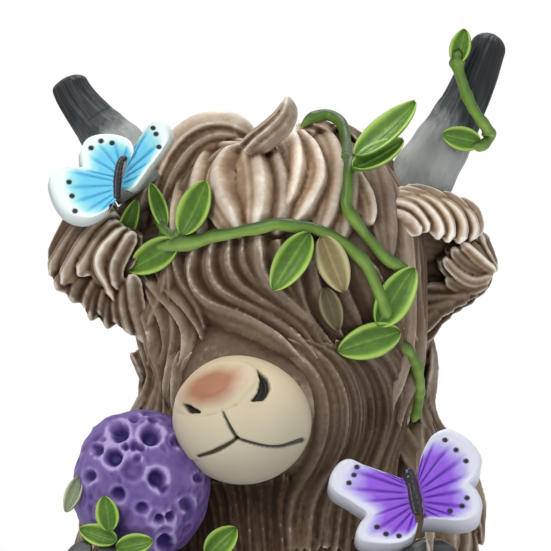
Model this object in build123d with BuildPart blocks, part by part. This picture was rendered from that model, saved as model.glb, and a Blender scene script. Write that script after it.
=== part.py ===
from build123d import *
import os
from math import cos, pi, radians, sin, sqrt

# A seated long-haired cow figurine, cast in resin as separate pieces that are pinned, glued and painted.
# It holds a bunch of purple blossom in one forehoof, a purple butterfly rests on the other, a blue butterfly
# sits at one horn, and leafy vines run over its brow, crown and horn.
# Millimetres, +Z up, the cow faces -Y, and the origin is the centre of the felt sheet it stands on.

# Shared values
overrun = 2.0  # how far a cutting form runs past the face it cuts
pin_clearance = 0.05  # between a pin, dowel or plug and the wall of its hole
groove_depth = 0.7  # mouth line and leaf veins

# Felt sheet under the base
felt_thickness = 1.2
felt_inset = 1.5  # how far the felt stays inside the outline of the base
leg_pad_length = 40.0  # felt under each hind leg, front to back
leg_pad_width = 14.0
leg_pad_round = 6.0

# Torso: a pear-shaped hollow casting, its pour hole closed by a plug
torso_diameter = 72.0
torso_height = 102.0
torso_setback = 4.0  # how far the torso's middle lies behind the origin
torso_wall = 6.0
cavity_height = 60.0
pour_hole_diameter = 16.0
torso_stage_shares = [  # (diameter, height) up the outline
    (0.92, 0.0),
    (1.0, 0.18),
    (0.95, 0.40),
    (0.85, 0.60),
    (0.79, 0.75),
    (0.70, 0.88),
    (0.50, 1.0),
]
cavity_stage_shares = [(1.0, 0.0), (0.98, 0.4), (0.80, 0.8), (0.55, 1.0)]

# Neck dowel
dowel_diameter = 5.0
dowel_length = 26.0
dowel_in_head_share = 0.5

# Head: a skull form and the snout in front of it
skull_width = 51.0
skull_height = 60.0
skull_lean = 3.0  # the head sits a little to the cow's left
skull_forward = 2.0
skull_over_torso = 8.8  # middle of the skull above the top of the torso
skull_fullness = 2.5  # 2 is an ellipse, and more is nearer to a box
profile_steps = 10
snout_diameter = 38.0
snout_side = -5.0  # from the skull's middle, towards the blossom
snout_sink = 11.5  # the snout's middle, inside the front of the skull
snout_over_chin = 10.0  # above the lowest point of the skull

# Muzzle, nose pad, nostrils and mouth
muzzle_diameter = 26.4
muzzle_side = -9.4
muzzle_out = 3.5  # the muzzle's middle, in front of the skull
muzzle_over_chin = 4.8  # above the lowest point of the skull
muzzle_yaw = 10.0  # degrees, turned towards the blossom
muzzle_roll = 25.0  # degrees, the cow's left nostril stands higher
nose_width = 13.5
nose_height = 7.0
nose_depth = 5.0
nose_lift_share = 0.62  # of the muzzle's radius, above its middle
nostril_width = 3.0
nostril_length = 6.4
nostril_side_share = 0.53
nostril_lift_share = 0.35
lip_stroke = 0.9  # width of the mouth line
philtrum_top_share = 0.17
mouth_line_shares = [(-0.76, -0.30), (-0.40, -0.25), (0.0, -0.26)]  # of the muzzle's radius
lip_line_shares = [(0.0, -0.26), (0.12, -0.46), (0.46, -0.66), (0.77, -0.72)]

# Forelock: locks that fall from a whorl on the crown
lock_width = 14.0
lock_thickness = 6.0
lock_sink_share = 0.15  # of its thickness, how far a lock's middle lies above the skull
lock_taper_shares = (0.45, 1.0, 0.95, 0.3)
lock_flatness_share = 0.6
whorl_turn = -22.0  # degrees from straight ahead, towards the blossom
whorl_pitch = 55.0  # degrees above the skull's middle
lock_start_share = 0.2  # of the way from the whorl to the lock's end
lock_middle_share = 0.6
lock_ends = [  # degrees: turn and pitch of each lock's end
    (-150, 6),
    (-114, -4),
    (-82, -12),
    (-54, -4),
    (-27, 16),
    (0, 20),
    (27, 12),
    (58, -6),
    (94, -12),
    (122, -8),
    (152, 2),
    (-178, 4),
]

# Cheek locks hang beside the face
cheek_lock_diameter = 9.6
cheek_tip_diameter = 6.4
cheek_lock_length = 20.0
cheek_lock_sink = 1.6
cheek_turns = [42, 61, 80, 99]  # degrees from straight ahead
cheek_pitch = 4.0  # degrees above the skull's middle, where they start

# Mane and back coat: rows of locks half sunk in the torso
coat_lock_diameter = 11.0
coat_tip_diameter = 8.0
coat_lock_sink = 1.9
# turns of a row's first and last lock in degrees, number of locks, and the heights of their tops and tips
# as shares of the torso's height
coat_row_shares = [
    (-34, 34, 5, 0.86, 0.50),
    (112, 248, 9, 0.90, 0.56),
    (112, 248, 10, 0.60, 0.30),
]

# Crown tuft: one lock that flicks up
tuft_width = 7.0
tuft_thickness = 5.0
tuft_rise = 9.0
tuft_reach = 9.0
tuft_sink = 3.0
tuft_bend_shares = (0.25, 0.6)  # of its reach and of its rise, where it bends

# Ears
ear_diameter = 25.0
ear_depth = 11.0
ear_hollow_diameter = 14.0
ear_hollow_depth = 3.5
right_ear_out = 10.0  # from the skull's side to the middle of the ear
right_ear_rise = 1.5
right_ear_droop = 52.0  # degrees
left_ear_out = 5.5
left_ear_rise = 6.5
left_ear_droop = 38.0

# Horns, each pinned to the skull
horn_root_diameter = 12.8
horn_middle_diameter = 10.4
horn_tip_diameter = 7.8
horn_seat_share = 0.8  # of the skull's half width, where a horn's axis starts
horn_rise = 13.0
horn_bow = 0.8  # how far a horn's middle bows outwards
right_horn_out = 18.1  # from the skull's side to the end of the horn's axis
right_horn_top = 9.8  # above the top of the skull
right_horn_back = 6.0
left_horn_out = 15.3
left_horn_top = 18.0
left_horn_back = 3.0
horn_pin_diameter = 2.4
horn_pin_length = 18.0
horn_pin_in_horn_share = 0.5

# Forelegs, bent at the elbow with their hooves in front of the chest
shoulder_diameter = 17.0
elbow_diameter = 21.0
wrist_diameter = 15.5
shoulder_spread = 25.5
elbow_spread = 34.0
shoulder_rise_share = 0.745  # of the torso's height
elbow_rise_share = 0.431
wrist_rise_share = 0.485
elbow_forward = 6.0
wrist_forward = 34.0
right_wrist_spread = 35.0  # the hoof that bears the blossom
left_wrist_spread = 30.0  # the hoof that bears the butterfly
fore_hoof_length = 11.0
fore_hoof_root_diameter = 14.0
fore_hoof_tip_diameter = 11.5
fore_hoof_pitch = 56.0  # degrees that the hoof points up

# Hind legs, stretched forward on the ground
thigh_width = 30.0
thigh_length = 46.0
thigh_height = 40.0
thigh_spread = 26.0
thigh_forward = 4.0
thigh_rise = 15.0
shank_diameter = 24.0
ankle_diameter = 20.0
ankle_spread = 30.0
ankle_forward = 49.0
shank_rise = 11.0
foot_sink = 1.0  # a leg's round underside is cut flat by this much
hind_hoof_length = 9.0
hind_hoof_root_diameter = 19.0
hind_hoof_tip_diameter = 16.0
cleft_width = 1.6  # the slot that parts a hoof's two claws
cleft_depth_share = 0.6
hoof_edge_share = 0.16  # of the hoof's tip diameter

# Tail, laid round the seat
tail_diameter = 6.0
tail_sink = 1.6  # how deep the tail lies in the coat
tail_run_shares = [(0.04, 0.27), (0.12, 0.20), (0.24, 0.13), (0.36, 0.08)]  # of a quarter turn, the height
tail_tuft_run_shares = [(0.39, 0.07), (0.52, 0.055)]
tail_tuft_diameters = (9.0, 5.0)

# Blossom held by the cow's right forehoof
bloom_diameter = 29.0
bloom_side = -26.2
bloom_forward = 27.0
bloom_over_wrist = 23.1
low_bloom_diameter = 18.0
low_bloom_side = -28.5
low_bloom_forward = 31.0
low_bloom_over_wrist = 3.5
pit_diameter = 4.4
pit_rows = [(-24, 5, 30.0), (2, 6, 26.0), (28, 5, 28.0), (54, 4, 40.0)]  # degrees up, count, degrees apart
pit_middle_turn = -10.0  # degrees
stem_diameter = 6.0
stem_length = 26.0
stem_side = -27.5
stem_forward = 28.0
stem_under_wrist = 11.5

# Vines
vine_diameter = 3.0
vine_lift = 4.8  # the vine's middle line above the skull
high_vine_lift = 7.0  # where the crown vine arches over the hair
brow_vine_shares = [  # (side, up) of the skull's half width and half height
    (-1.13, 0.31),
    (-0.90, 0.32),
    (-0.55, 0.37),
    (-0.08, 0.42),
    (0.24, 0.39),
    (0.47, 0.27),
    (0.67, 0.07),
    (0.75, -0.13),
]
crown_arch_shares = [(0.10, 1.02), (0.27, 1.14), (0.43, 1.08)]
crown_vine_shares = [
    (0.47, 0.87),
    (0.43, 0.67),
    (0.47, 0.51),
    (0.59, 0.34),
    (0.75, 0.21),
    (0.90, 0.13),
]
neck_vine_lift = 1.2
neck_vine_shares = [(0.98, -0.30), (1.00, -0.50), (0.98, -0.66), (0.90, -0.86)]
horn_vine_run_share = (0.52, 0.93)  # of the horn's length
horn_vine_turns = (95.0, -95.0)  # degrees from the front, at the two ends of that run
horn_vine_stops = 6

# Leaves
leaf_length = 12.5
leaf_width = 7.0
leaf_thickness = 2.0
vein_width = 0.8
vein_share = 0.7  # of the leaf's length
leaf_root_lift = 4.2
# name, (side, up) shares of the root, direction in the front view in degrees, shares of the leaf length and
# leaf width, and how much the leaf turns to the front: 0 lies on the hair and 1 faces forward
head_leaf_shares = [
    ("leaf_brow_end", (-0.88, 0.34), 215, 0.92, 1.03, 0.2),
    ("leaf_brow_bud", (-0.96, 0.52), 112, 0.68, 0.54, 0.2),
    ("leaf_brow_upright", (-0.80, 0.42), 62, 0.86, 0.89, 0.1),
    ("leaf_brow_long", (-1.0, 0.42), 255, 1.0, 0.60, 0.5),
    ("leaf_brow_hanging", (0.18, 0.36), 237, 1.0, 0.91, 0.1),
    ("leaf_brow_brown", (0.27, 0.36), 285, 0.88, 0.89, 0.1),
    ("leaf_brow_small", (0.30, 0.02), 235, 0.60, 0.66, 0.0),
    ("leaf_cheek_upper", (0.72, -0.16), 58, 1.0, 1.0, 0.8),
    ("leaf_cheek_lower", (0.74, -0.20), 201, 1.0, 0.94, 0.1),
    ("leaf_crown_large", (0.47, 0.87), 43, 1.28, 1.11, 0.5),
    ("leaf_crown_small", (0.58, 0.72), 22, 1.0, 0.80, 0.3),
]
# name, place as a share of the horn's length, turn and direction in degrees, shares of leaf length and width
horn_leaf_shares = [
    ("leaf_horn", 0.58, 42, 186, 0.76, 0.77),
    ("leaf_horn_bud", 0.95, -62, 75, 0.56, 0.51),
]
horn_leaf_lift = 1.8
# Leaves round the bunch of blossom: name, (side, up) of the root from the upper blossom's middle in shares
# of its radius, direction in degrees, shares of leaf length and width
bunch_leaf_shares = [
    ("leaf_bunch_outer", (-0.92, 0.10), 118, 0.88, 0.86),
    ("leaf_bunch_low_outer", (-0.86, -0.46), 214, 0.88, 0.91),
    ("leaf_bunch_low", (-0.42, -0.62), 228, 0.80, 0.86),
    ("leaf_bunch_inner", (0.62, -0.84), 330, 0.80, 0.80),
]

# Butterflies
wing_thickness = 3.0
wing_span = 15.4  # from the middle of the body to the outer tip of one wing
wing_length = 22.0  # along the body, fore wing to hind wing
fore_wing_shares = [(0.05, 0.10), (0.40, 0.36), (0.88, 0.50), (1.0, 0.30), (0.62, 0.0)]
hind_wing_shares = [(0.62, -0.05), (0.88, -0.14), (0.84, -0.38), (0.46, -0.50), (0.05, -0.22)]
wing_lift = 16.0  # degrees that each wing rises from the body
butterfly_body_diameter = 3.2
butterfly_body_length = 9.6
purple_side = 26.8
purple_forward = 40.0
purple_over_wrist = 22.1
purple_turn = 4.0  # degrees, in the front view
blue_out = 7.9  # from the skull's side
blue_forward = 12.8  # from the skull's middle
blue_over_skull = 23.0  # above the skull's middle
blue_turn = -10.0
blue_yaw = 24.0  # degrees that it turns to the cow's right


def between(first, second, share):
    """The value at a share of the way from the first to the second."""
    return first + (second - first) * share


def above_felt(height):
    """A height counted from the top of the felt, as a height above the ground."""
    return felt_thickness + height


skull_centre = Vector(skull_lean, -skull_forward, above_felt(torso_height + skull_over_torso))
snout_centre = skull_centre + Vector(
    snout_side, snout_sink - skull_width / 2, snout_over_chin - skull_height / 2
)
muzzle_centre = skull_centre + Vector(
    muzzle_side, -skull_width / 2 - muzzle_out, muzzle_over_chin - skull_height / 2
)
wrist_height = above_felt(torso_height * wrist_rise_share)


def egg(width, depth, height):
    """A closed round form with three diameters, centred on its own origin."""
    with BuildPart() as form:
        Sphere(radius=1)
        scale(by=(width / 2, depth / 2, height / 2))
    return form.part


def egg_at(centre, width, depth, height):
    """The same form set at a point."""
    return egg(width, depth, height).moved(Location(centre))


def cap_radius(diameter, depth):
    """The radius of the ball whose cap has this diameter and depth."""
    return (diameter**2 / 4 + depth**2) / (2 * depth)


def jointed_limb(points, diameters):
    """Straight tapers between the points, rounded where they meet."""
    with BuildPart() as limb:
        for start, stop, first, second in zip(points, points[1:], diameters, diameters[1:]):
            along = stop - start
            with BuildSketch(Plane(origin=start, z_dir=along)):
                Circle(radius=first / 2)
            with BuildSketch(Plane(origin=stop, z_dir=along)):
                Circle(radius=second / 2)
            loft()
        for point, diameter in zip(points, diameters):
            with Locations(point):
                Sphere(radius=diameter / 2)
    return limb.part


def stem_along(points, diameter):
    """A round stem of one thickness along the points."""
    return jointed_limb(points, [diameter] * len(points))


def keep_largest(shape):
    """The largest solid of a shape that a cut may have left with crumbs."""
    return shape.solids().sort_by(SortBy.VOLUME)[-1]


def near(first, second):
    """Whether two shapes' bounding boxes meet."""
    one, two = (shape.bounding_box(optimal=False) for shape in (first, second))
    return (
        one.min.X < two.max.X
        and two.min.X < one.max.X
        and one.min.Y < two.max.Y
        and two.min.Y < one.max.Y
        and one.min.Z < two.max.Z
        and two.min.Z < one.max.Z
    )


def seat(form, carriers):
    """The form cut so that it lies face to face on what carries it."""
    with BuildPart() as piece:
        add(form)
        for carrier in carriers:
            if near(form, carrier):
                add(carrier, mode=Mode.SUBTRACT)
    return keep_largest(piece.part)


def save(piece, name):
    """Labels the finished piece, writes it and hands it back."""
    piece.label = name
    export_step(piece, f"parts/{name}.step")
    return piece


def skull_radius_at(height, lift):
    """The skull's radius at a height from its middle, with a lift added to its whole skin."""
    share = min(abs(height) / (skull_height / 2 + lift), 1)
    return (skull_width / 2 + lift) * (1 - share**skull_fullness) ** (1 / skull_fullness)


def on_skull(turn, pitch, lift):
    """The point above the skull's skin at a turn from straight ahead and a pitch, in degrees."""
    level, up = cos(radians(pitch)), sin(radians(pitch))
    reach = (
        (level / (skull_width / 2 + lift)) ** skull_fullness
        + (abs(up) / (skull_height / 2 + lift)) ** skull_fullness
    ) ** (-1 / skull_fullness)
    return skull_centre + Vector(
        reach * level * sin(radians(turn)), -reach * level * cos(radians(turn)), reach * up
    )


def face_point(shares, lift):
    """The point above the front of the skull at these shares of its half width and half height."""
    x = shares[0] * skull_width / 2
    z = shares[1] * skull_height / 2
    radius = skull_radius_at(z, lift)
    return skull_centre + Vector(x, -sqrt(max(radius**2 - x**2, 0)), z)


def outward_at(point):
    """The direction straight out of the skull's skin at a point near it."""
    away = point - skull_centre
    level = sqrt(away.X**2 + away.Y**2)
    slope_out = (level / skull_width) ** (skull_fullness - 1) / skull_width
    slope_up = (abs(away.Z) / skull_height) ** (skull_fullness - 1) / skull_height
    rise = slope_up if away.Z > 0 else -slope_up
    return Vector(away.X / level * slope_out, away.Y / level * slope_out, rise).normalized()


os.makedirs("parts", exist_ok=True)

# Head
with BuildPart() as skull:
    with BuildSketch(Plane.XZ):
        with BuildLine():
            profile = [
                (
                    skull_radius_at(skull_height / 2 * sin(pi / 2 * step / profile_steps), 0),
                    skull_height / 2 * sin(pi / 2 * step / profile_steps),
                )
                for step in range(-profile_steps, profile_steps + 1)
            ]
            Spline(*profile, tangents=((1, 0), (-1, 0)))
            Line(profile[-1], profile[0])
        make_face()
    revolve(axis=Axis.Z)

dowel_foot = Plane(skull_centre).offset(-skull_height / 2 - dowel_length * (1 - dowel_in_head_share))
with BuildPart() as dowel:
    with BuildSketch(dowel_foot):
        Circle(radius=dowel_diameter / 2)
    extrude(amount=dowel_length)
with BuildPart() as dowel_hole:
    with BuildSketch(dowel_foot.offset(-pin_clearance)):
        Circle(radius=dowel_diameter / 2 + pin_clearance)
    extrude(amount=dowel_length + 2 * pin_clearance)


def horn_axis(side, out, top, back):
    """The line of a horn's axis. side is -1 for the cow's right and 1 for its left."""
    root = skull_centre + Vector(side * horn_seat_share * skull_width / 2, 0, horn_rise)
    tip = skull_centre + Vector(side * (skull_width / 2 + out), back, skull_height / 2 + top)
    along = tip - root
    bow = Vector(along.Z * side, 0, -along.X * side).normalized() * horn_bow
    return Spline(root, root + along / 2 + bow, tip)


right_horn_line = horn_axis(-1, right_horn_out, right_horn_top, right_horn_back)
left_horn_line = horn_axis(1, left_horn_out, left_horn_top, left_horn_back)


def horn_diameter(place):
    """A horn's diameter at a share of its length."""
    if place < 0.5:
        return between(horn_root_diameter, horn_middle_diameter, place * 2)
    return between(horn_middle_diameter, horn_tip_diameter, place * 2 - 1)


def horn_form(line):
    """A horn that tapers from its root over its middle to a rounded tip."""
    places = (0, 0.5, 1)
    return jointed_limb([line @ place for place in places], [horn_diameter(place) for place in places])


def horn_pin(line, diameter, length):
    """A straight pin along the first part of a horn's axis, partly in the skull."""
    along = line % 0
    start = line @ 0 + along * (horn_pin_reach_in - length * (1 - horn_pin_in_horn_share))
    with BuildPart() as pin:
        with BuildSketch(Plane(origin=start, z_dir=along)):
            Circle(radius=diameter / 2)
        extrude(amount=length)
    return pin.part


# The pin is centred on where a horn leaves the skull's skin.
horn_pin_reach_in = (1 - horn_seat_share) * skull_width / 2

hole_diameter = horn_pin_diameter + 2 * pin_clearance
right_pin = horn_pin(right_horn_line, horn_pin_diameter, horn_pin_length)
left_pin = horn_pin(left_horn_line, horn_pin_diameter, horn_pin_length)
right_pin_hole = horn_pin(right_horn_line, hole_diameter, horn_pin_length)
left_pin_hole = horn_pin(left_horn_line, hole_diameter, horn_pin_length)

cheek_locks = []
for side in (-1, 1):
    for turn in cheek_turns:
        lock_top = on_skull(side * turn, cheek_pitch, -cheek_lock_sink)
        lock_ends_at = [lock_top, lock_top - Vector(0, 0, cheek_lock_length)]
        cheek_locks.append(jointed_limb(lock_ends_at, [cheek_lock_diameter, cheek_tip_diameter]))

with BuildPart() as head:
    add(skull.part.moved(Location(skull_centre)))
    with Locations(snout_centre):
        Sphere(radius=snout_diameter / 2)
    add(cheek_locks)
    add(dowel_hole.part, mode=Mode.SUBTRACT)
    add(left_pin_hole, mode=Mode.SUBTRACT)
    add(right_pin_hole, mode=Mode.SUBTRACT)
save(head.part, "head")
save(dowel.part, "neck_dowel")
save(left_pin, "horn_pin_left")
save(right_pin, "horn_pin_right")

# Muzzle. Its own frame looks out of the face: x towards the cow's left, y up, z outwards.
face_out = Vector(-sin(radians(muzzle_yaw)), -cos(radians(muzzle_yaw)), 0)
face_level = Vector(cos(radians(muzzle_yaw)), -sin(radians(muzzle_yaw)), 0)
face_side = face_level.rotate(Axis((0, 0, 0), face_out), muzzle_roll)
muzzle_plane = Plane(origin=muzzle_centre, x_dir=face_side, z_dir=face_out)
muzzle_radius = muzzle_diameter / 2
with BuildPart() as muzzle_dome:
    with Locations(muzzle_centre):
        Sphere(radius=muzzle_radius)


def on_muzzle(shares):
    """Points in the muzzle's frame from shares of its radius."""
    return [(muzzle_radius * across, muzzle_radius * up) for across, up in shares]


with BuildPart() as mouth_cut:
    with BuildSketch(muzzle_plane):
        with BuildLine():
            Spline(*on_muzzle(mouth_line_shares))
        trace(line_width=lip_stroke)
        with BuildLine():
            Spline(*on_muzzle(lip_line_shares))
        trace(line_width=lip_stroke)
        with BuildLine():
            Line(on_muzzle([(0.0, philtrum_top_share)])[0], on_muzzle(lip_line_shares)[0])
        trace(line_width=lip_stroke)
    extrude(amount=muzzle_diameter)
    with Locations(muzzle_centre):
        Sphere(radius=muzzle_radius - groove_depth, mode=Mode.SUBTRACT)

with BuildPart() as muzzle:
    add(muzzle_dome.part)
    add(head.part, mode=Mode.SUBTRACT)
    add(mouth_cut.part, mode=Mode.SUBTRACT)
    for side in (-1, 1):
        nostril_x = side * nostril_side_share * muzzle_radius
        nostril_y = nostril_lift_share * muzzle_radius
        nostril_z = sqrt(muzzle_radius**2 - nostril_x**2 - nostril_y**2)
        pit = muzzle_plane.from_local_coords(Vector(nostril_x, nostril_y, nostril_z))
        add(egg_at(pit, nostril_width, nostril_width, nostril_length), mode=Mode.SUBTRACT)
muzzle_piece = save(keep_largest(muzzle.part), "muzzle")

nose_y = nose_lift_share * muzzle_radius
nose_z = muzzle_radius * sqrt(1 - nose_lift_share**2)
nose_plane = Plane(
    origin=muzzle_plane.from_local_coords(Vector(0, nose_y, nose_z)), x_dir=face_side, z_dir=face_out
)
nose_piece = save(
    seat(egg(nose_width, nose_height, nose_depth).moved(nose_plane.location), [muzzle_piece, head.part]),
    "nose_pad",
)

# Torso with its cavity, pour hole and plug
def turned_form(outline, foot):
    """A round form whose outline is a smooth line through points (radius, height), set on its foot."""
    with BuildPart() as form:
        with BuildSketch(Plane.XZ):
            with BuildLine():
                Spline(*outline)
                Polyline(outline[-1], (0, outline[-1][1]), (0, outline[0][1]), outline[0])
            make_face()
        revolve(axis=Axis.Z)
    return form.part.moved(Location(foot))


def torso_radius_at(height_share):
    """The torso's radius at a share of its height, straight between the stages of its outline."""
    for (wide, low), (next_wide, high) in zip(torso_stage_shares, torso_stage_shares[1:]):
        if height_share <= high:
            return torso_diameter / 2 * between(wide, next_wide, (height_share - low) / (high - low))
    return torso_diameter / 2 * torso_stage_shares[-1][0]


def in_torso(turn, height_share):
    """A point sunk below the torso's skin. The turn is in degrees from the front."""
    reach = torso_radius_at(height_share) - coat_lock_sink
    return Vector(
        reach * sin(radians(turn)),
        torso_setback - reach * cos(radians(turn)),
        above_felt(torso_height * height_share),
    )


coat_locks = []
for first, last, count, top, tip in coat_row_shares:
    for number in range(count):
        turn = between(first, last, number / (count - 1))
        lock_ends_at = [in_torso(turn, top), in_torso(turn, tip)]
        coat_locks.append(jointed_limb(lock_ends_at, [coat_lock_diameter, coat_tip_diameter]))

torso_outline = [(torso_diameter / 2 * wide, torso_height * up) for wide, up in torso_stage_shares]
with BuildPart() as torso:
    add(turned_form(torso_outline, (0, torso_setback, above_felt(0))))
    add(coat_locks)
    add(head.part, mode=Mode.SUBTRACT)
    add(muzzle_dome.part, mode=Mode.SUBTRACT)
    add(dowel_hole.part, mode=Mode.SUBTRACT)

cavity_radius = torso_outline[0][0] - torso_wall
cavity_outline = [(cavity_radius * wide, cavity_height * up) for wide, up in cavity_stage_shares]
cavity = turned_form(cavity_outline, (0, torso_setback, above_felt(torso_wall)))
with BuildPart() as plug:
    with BuildSketch(Plane((0, torso_setback, above_felt(0)))):
        Circle(radius=pour_hole_diameter / 2 - pin_clearance)
    extrude(amount=torso_wall)
with BuildPart() as hollow_torso:
    add(torso.part)
    add(cavity, mode=Mode.SUBTRACT)
    with BuildSketch(Plane((0, torso_setback, above_felt(0)))):
        Circle(radius=pour_hole_diameter / 2)
    extrude(amount=torso_wall + overrun, mode=Mode.SUBTRACT)
save(keep_largest(hollow_torso.part), "torso")
save(plug.part, "pour_plug")

# Felt sheet in one piece under the torso and the hind legs
with BuildPart() as felt:
    with BuildSketch():
        with Locations((0, torso_setback)):
            Circle(radius=torso_outline[0][0] - felt_inset)
        with Locations(
            (-thigh_spread, -ankle_forward + leg_pad_length / 2),
            (thigh_spread, -ankle_forward + leg_pad_length / 2),
        ):
            RectangleRounded(leg_pad_width, leg_pad_length, leg_pad_round)
    extrude(amount=felt_thickness)
save(felt.part, "felt_base")

# Hind legs: thigh and shank in one casting, flat underneath
ground = Box(
    2 * torso_height,
    2 * torso_height,
    torso_height,
    align=(Align.CENTER, Align.CENTER, Align.MAX),
    mode=Mode.PRIVATE,
).moved(Location((0, 0, felt_thickness)))


def cloven_hoof(root, along, length, root_diameter, tip_diameter):
    """A hoof as a short taper whose front is parted by a slot."""
    with BuildPart() as hoof:
        with BuildSketch(Plane(origin=root, z_dir=along)):
            Circle(radius=root_diameter / 2)
        with BuildSketch(Plane(origin=root + along * length, z_dir=along)):
            Circle(radius=tip_diameter / 2)
        loft()
        fillet(hoof.faces().sort_by(Axis(root, along))[-1].edges(), radius=tip_diameter * hoof_edge_share)
        slot_plane = Plane(origin=root + along * length, x_dir=(1, 0, 0), z_dir=along)
        with BuildSketch(slot_plane):
            Rectangle(cleft_width, 2 * root_diameter)
        extrude(amount=-length * cleft_depth_share, mode=Mode.SUBTRACT)
    return hoof.part


sides = ((-1, "right"), (1, "left"))  # the cow's own right and left
hind_legs = []
for side, name in sides:
    thigh_centre = Vector(side * thigh_spread, -thigh_forward, above_felt(thigh_rise))
    knee = Vector(side * thigh_spread, -(thigh_forward + thigh_length / 4), above_felt(shank_rise))
    ankle = Vector(side * ankle_spread, -ankle_forward, above_felt(ankle_diameter / 2 - foot_sink))
    with BuildPart() as hind_leg:
        add(egg_at(thigh_centre, thigh_width, thigh_length, thigh_height))
        with BuildSketch(Plane(origin=knee, z_dir=(0, -1, 0))):
            Circle(radius=shank_diameter / 2)
        with BuildSketch(Plane(origin=ankle, z_dir=(0, -1, 0))):
            Circle(radius=ankle_diameter / 2)
        loft()
    hind_legs.append(save(seat(hind_leg.part, [torso.part, ground]), f"hind_leg_{name}"))
    hoof = cloven_hoof(
        ankle, Vector(0, -1, 0), hind_hoof_length, hind_hoof_root_diameter, hind_hoof_tip_diameter
    )
    save(seat(hoof, [ground]), f"hind_hoof_{name}")

# Forelegs and their hooves
forelegs = []
fore_hooves = []
hoof_along = Vector(0, -cos(radians(fore_hoof_pitch)), sin(radians(fore_hoof_pitch)))
for (side, name), wrist_spread in zip(sides, (right_wrist_spread, left_wrist_spread)):
    shoulder = Vector(side * shoulder_spread, 0, above_felt(torso_height * shoulder_rise_share))
    elbow = Vector(side * elbow_spread, -elbow_forward, above_felt(torso_height * elbow_rise_share))
    wrist = Vector(side * wrist_spread, -wrist_forward, wrist_height)
    hoof = cloven_hoof(
        wrist + hoof_along * (wrist_diameter / 4),
        hoof_along,
        fore_hoof_length,
        fore_hoof_root_diameter,
        fore_hoof_tip_diameter,
    )
    arm = jointed_limb([shoulder, elbow, wrist], [shoulder_diameter, elbow_diameter, wrist_diameter])
    forelegs.append(save(seat(arm, [torso.part, head.part, *hind_legs]), f"foreleg_{name}"))
    fore_hooves.append(save(seat(hoof, [forelegs[-1]]), f"fore_hoof_{name}"))

# Tail and its tuft
def around_seat(turn_share, height_share, diameter):
    """A point on the coat behind the seat. The turn is a share of a quarter turn from the back."""
    angle = turn_share * pi / 2
    reach = torso_outline[1][0] + diameter / 2 - tail_sink
    return Vector(
        reach * sin(angle), torso_setback + reach * cos(angle), above_felt(torso_height * height_share)
    )


tail_points = [around_seat(*share, tail_diameter) for share in tail_run_shares]
tail_piece = save(seat(stem_along(tail_points, tail_diameter), [torso.part, ground]), "tail")
tuft_points = [around_seat(*share, tail_diameter) for share in tail_tuft_run_shares]
tail_tuft = jointed_limb(tuft_points, tail_tuft_diameters)
save(seat(tail_tuft, [torso.part, ground, tail_piece, *hind_legs]), "tail_tuft")

# Horns and ears
horns = []
for (side, name), line, hole in zip(
    sides, (right_horn_line, left_horn_line), (right_pin_hole, left_pin_hole)
):
    horns.append(save(seat(horn_form(line), [head.part, hole]), f"horn_{name}"))

ears = []
for (side, name), out, rise, droop in zip(
    sides,
    (right_ear_out, left_ear_out),
    (right_ear_rise, left_ear_rise),
    (right_ear_droop, left_ear_droop),
):
    place = Location(
        skull_centre + Vector(side * (skull_width / 2 + out), 0, rise), (0, side * droop, 0)
    )
    bulge = cap_radius(ear_diameter, ear_depth / 2)
    dish = cap_radius(ear_hollow_diameter, ear_hollow_depth)
    with BuildPart() as ear:
        with Locations((0, bulge - ear_depth / 2, 0)):
            Sphere(radius=bulge)
        with Locations((0, ear_depth / 2 - bulge, 0)):
            Sphere(radius=bulge, mode=Mode.INTERSECT)
        with Locations((0, ear_hollow_depth - ear_depth / 2 - dish, 0)):
            Sphere(radius=dish, mode=Mode.SUBTRACT)
    ears.append(save(seat(ear.part.moved(place), [head.part, horns[len(ears)]]), f"ear_{name}"))

# Forelock and crown tuft
def lock(stops):
    """One flat, tapering lock of hair that lies on the skull along its stops (turn, pitch)."""
    path = Spline(*[on_skull(turn, pitch, lock_thickness * lock_sink_share) for turn, pitch in stops])
    with BuildPart() as strand:
        for number, share in enumerate(lock_taper_shares):
            place = number / (len(lock_taper_shares) - 1)
            across = (path % place).cross(outward_at(path @ place))
            flat = lock_flatness_share + (1 - lock_flatness_share) * share
            with BuildSketch(Plane(origin=path @ place, x_dir=across, z_dir=path % place)):
                Ellipse(lock_width / 2 * share, lock_thickness / 2 * flat)
        loft()
    return strand.part


locks = []
for turn, pitch in lock_ends:
    stops = [
        (between(whorl_turn, turn, share), between(whorl_pitch, pitch, share))
        for share in (lock_start_share, lock_middle_share, 1)
    ]
    locks.append(lock(stops))
with BuildPart() as hair:
    add(locks)
forelock = save(seat(hair.part, [head.part, *horns, *ears]), "forelock")

whorl = on_skull(whorl_turn, whorl_pitch, 0)
tuft_root = whorl - outward_at(whorl) * tuft_sink
tuft_tip = tuft_root + Vector(tuft_reach, 0, tuft_rise + tuft_sink)
with BuildPart() as tuft:
    path = Spline(
        tuft_root,
        tuft_root
        + Vector(
            tuft_reach * tuft_bend_shares[0], -tuft_sink / 2, (tuft_rise + tuft_sink) * tuft_bend_shares[1]
        ),
        tuft_tip,
    )
    for number, share in enumerate(lock_taper_shares):
        place = number / (len(lock_taper_shares) - 1)
        with BuildSketch(Plane(origin=path @ place, x_dir=(0, 1, 0), z_dir=path % place)):
            Ellipse(tuft_thickness / 2 * share, tuft_width / 2 * share)
    loft()
crown_tuft = save(seat(tuft.part, [head.part, forelock]), "crown_tuft")

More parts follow.
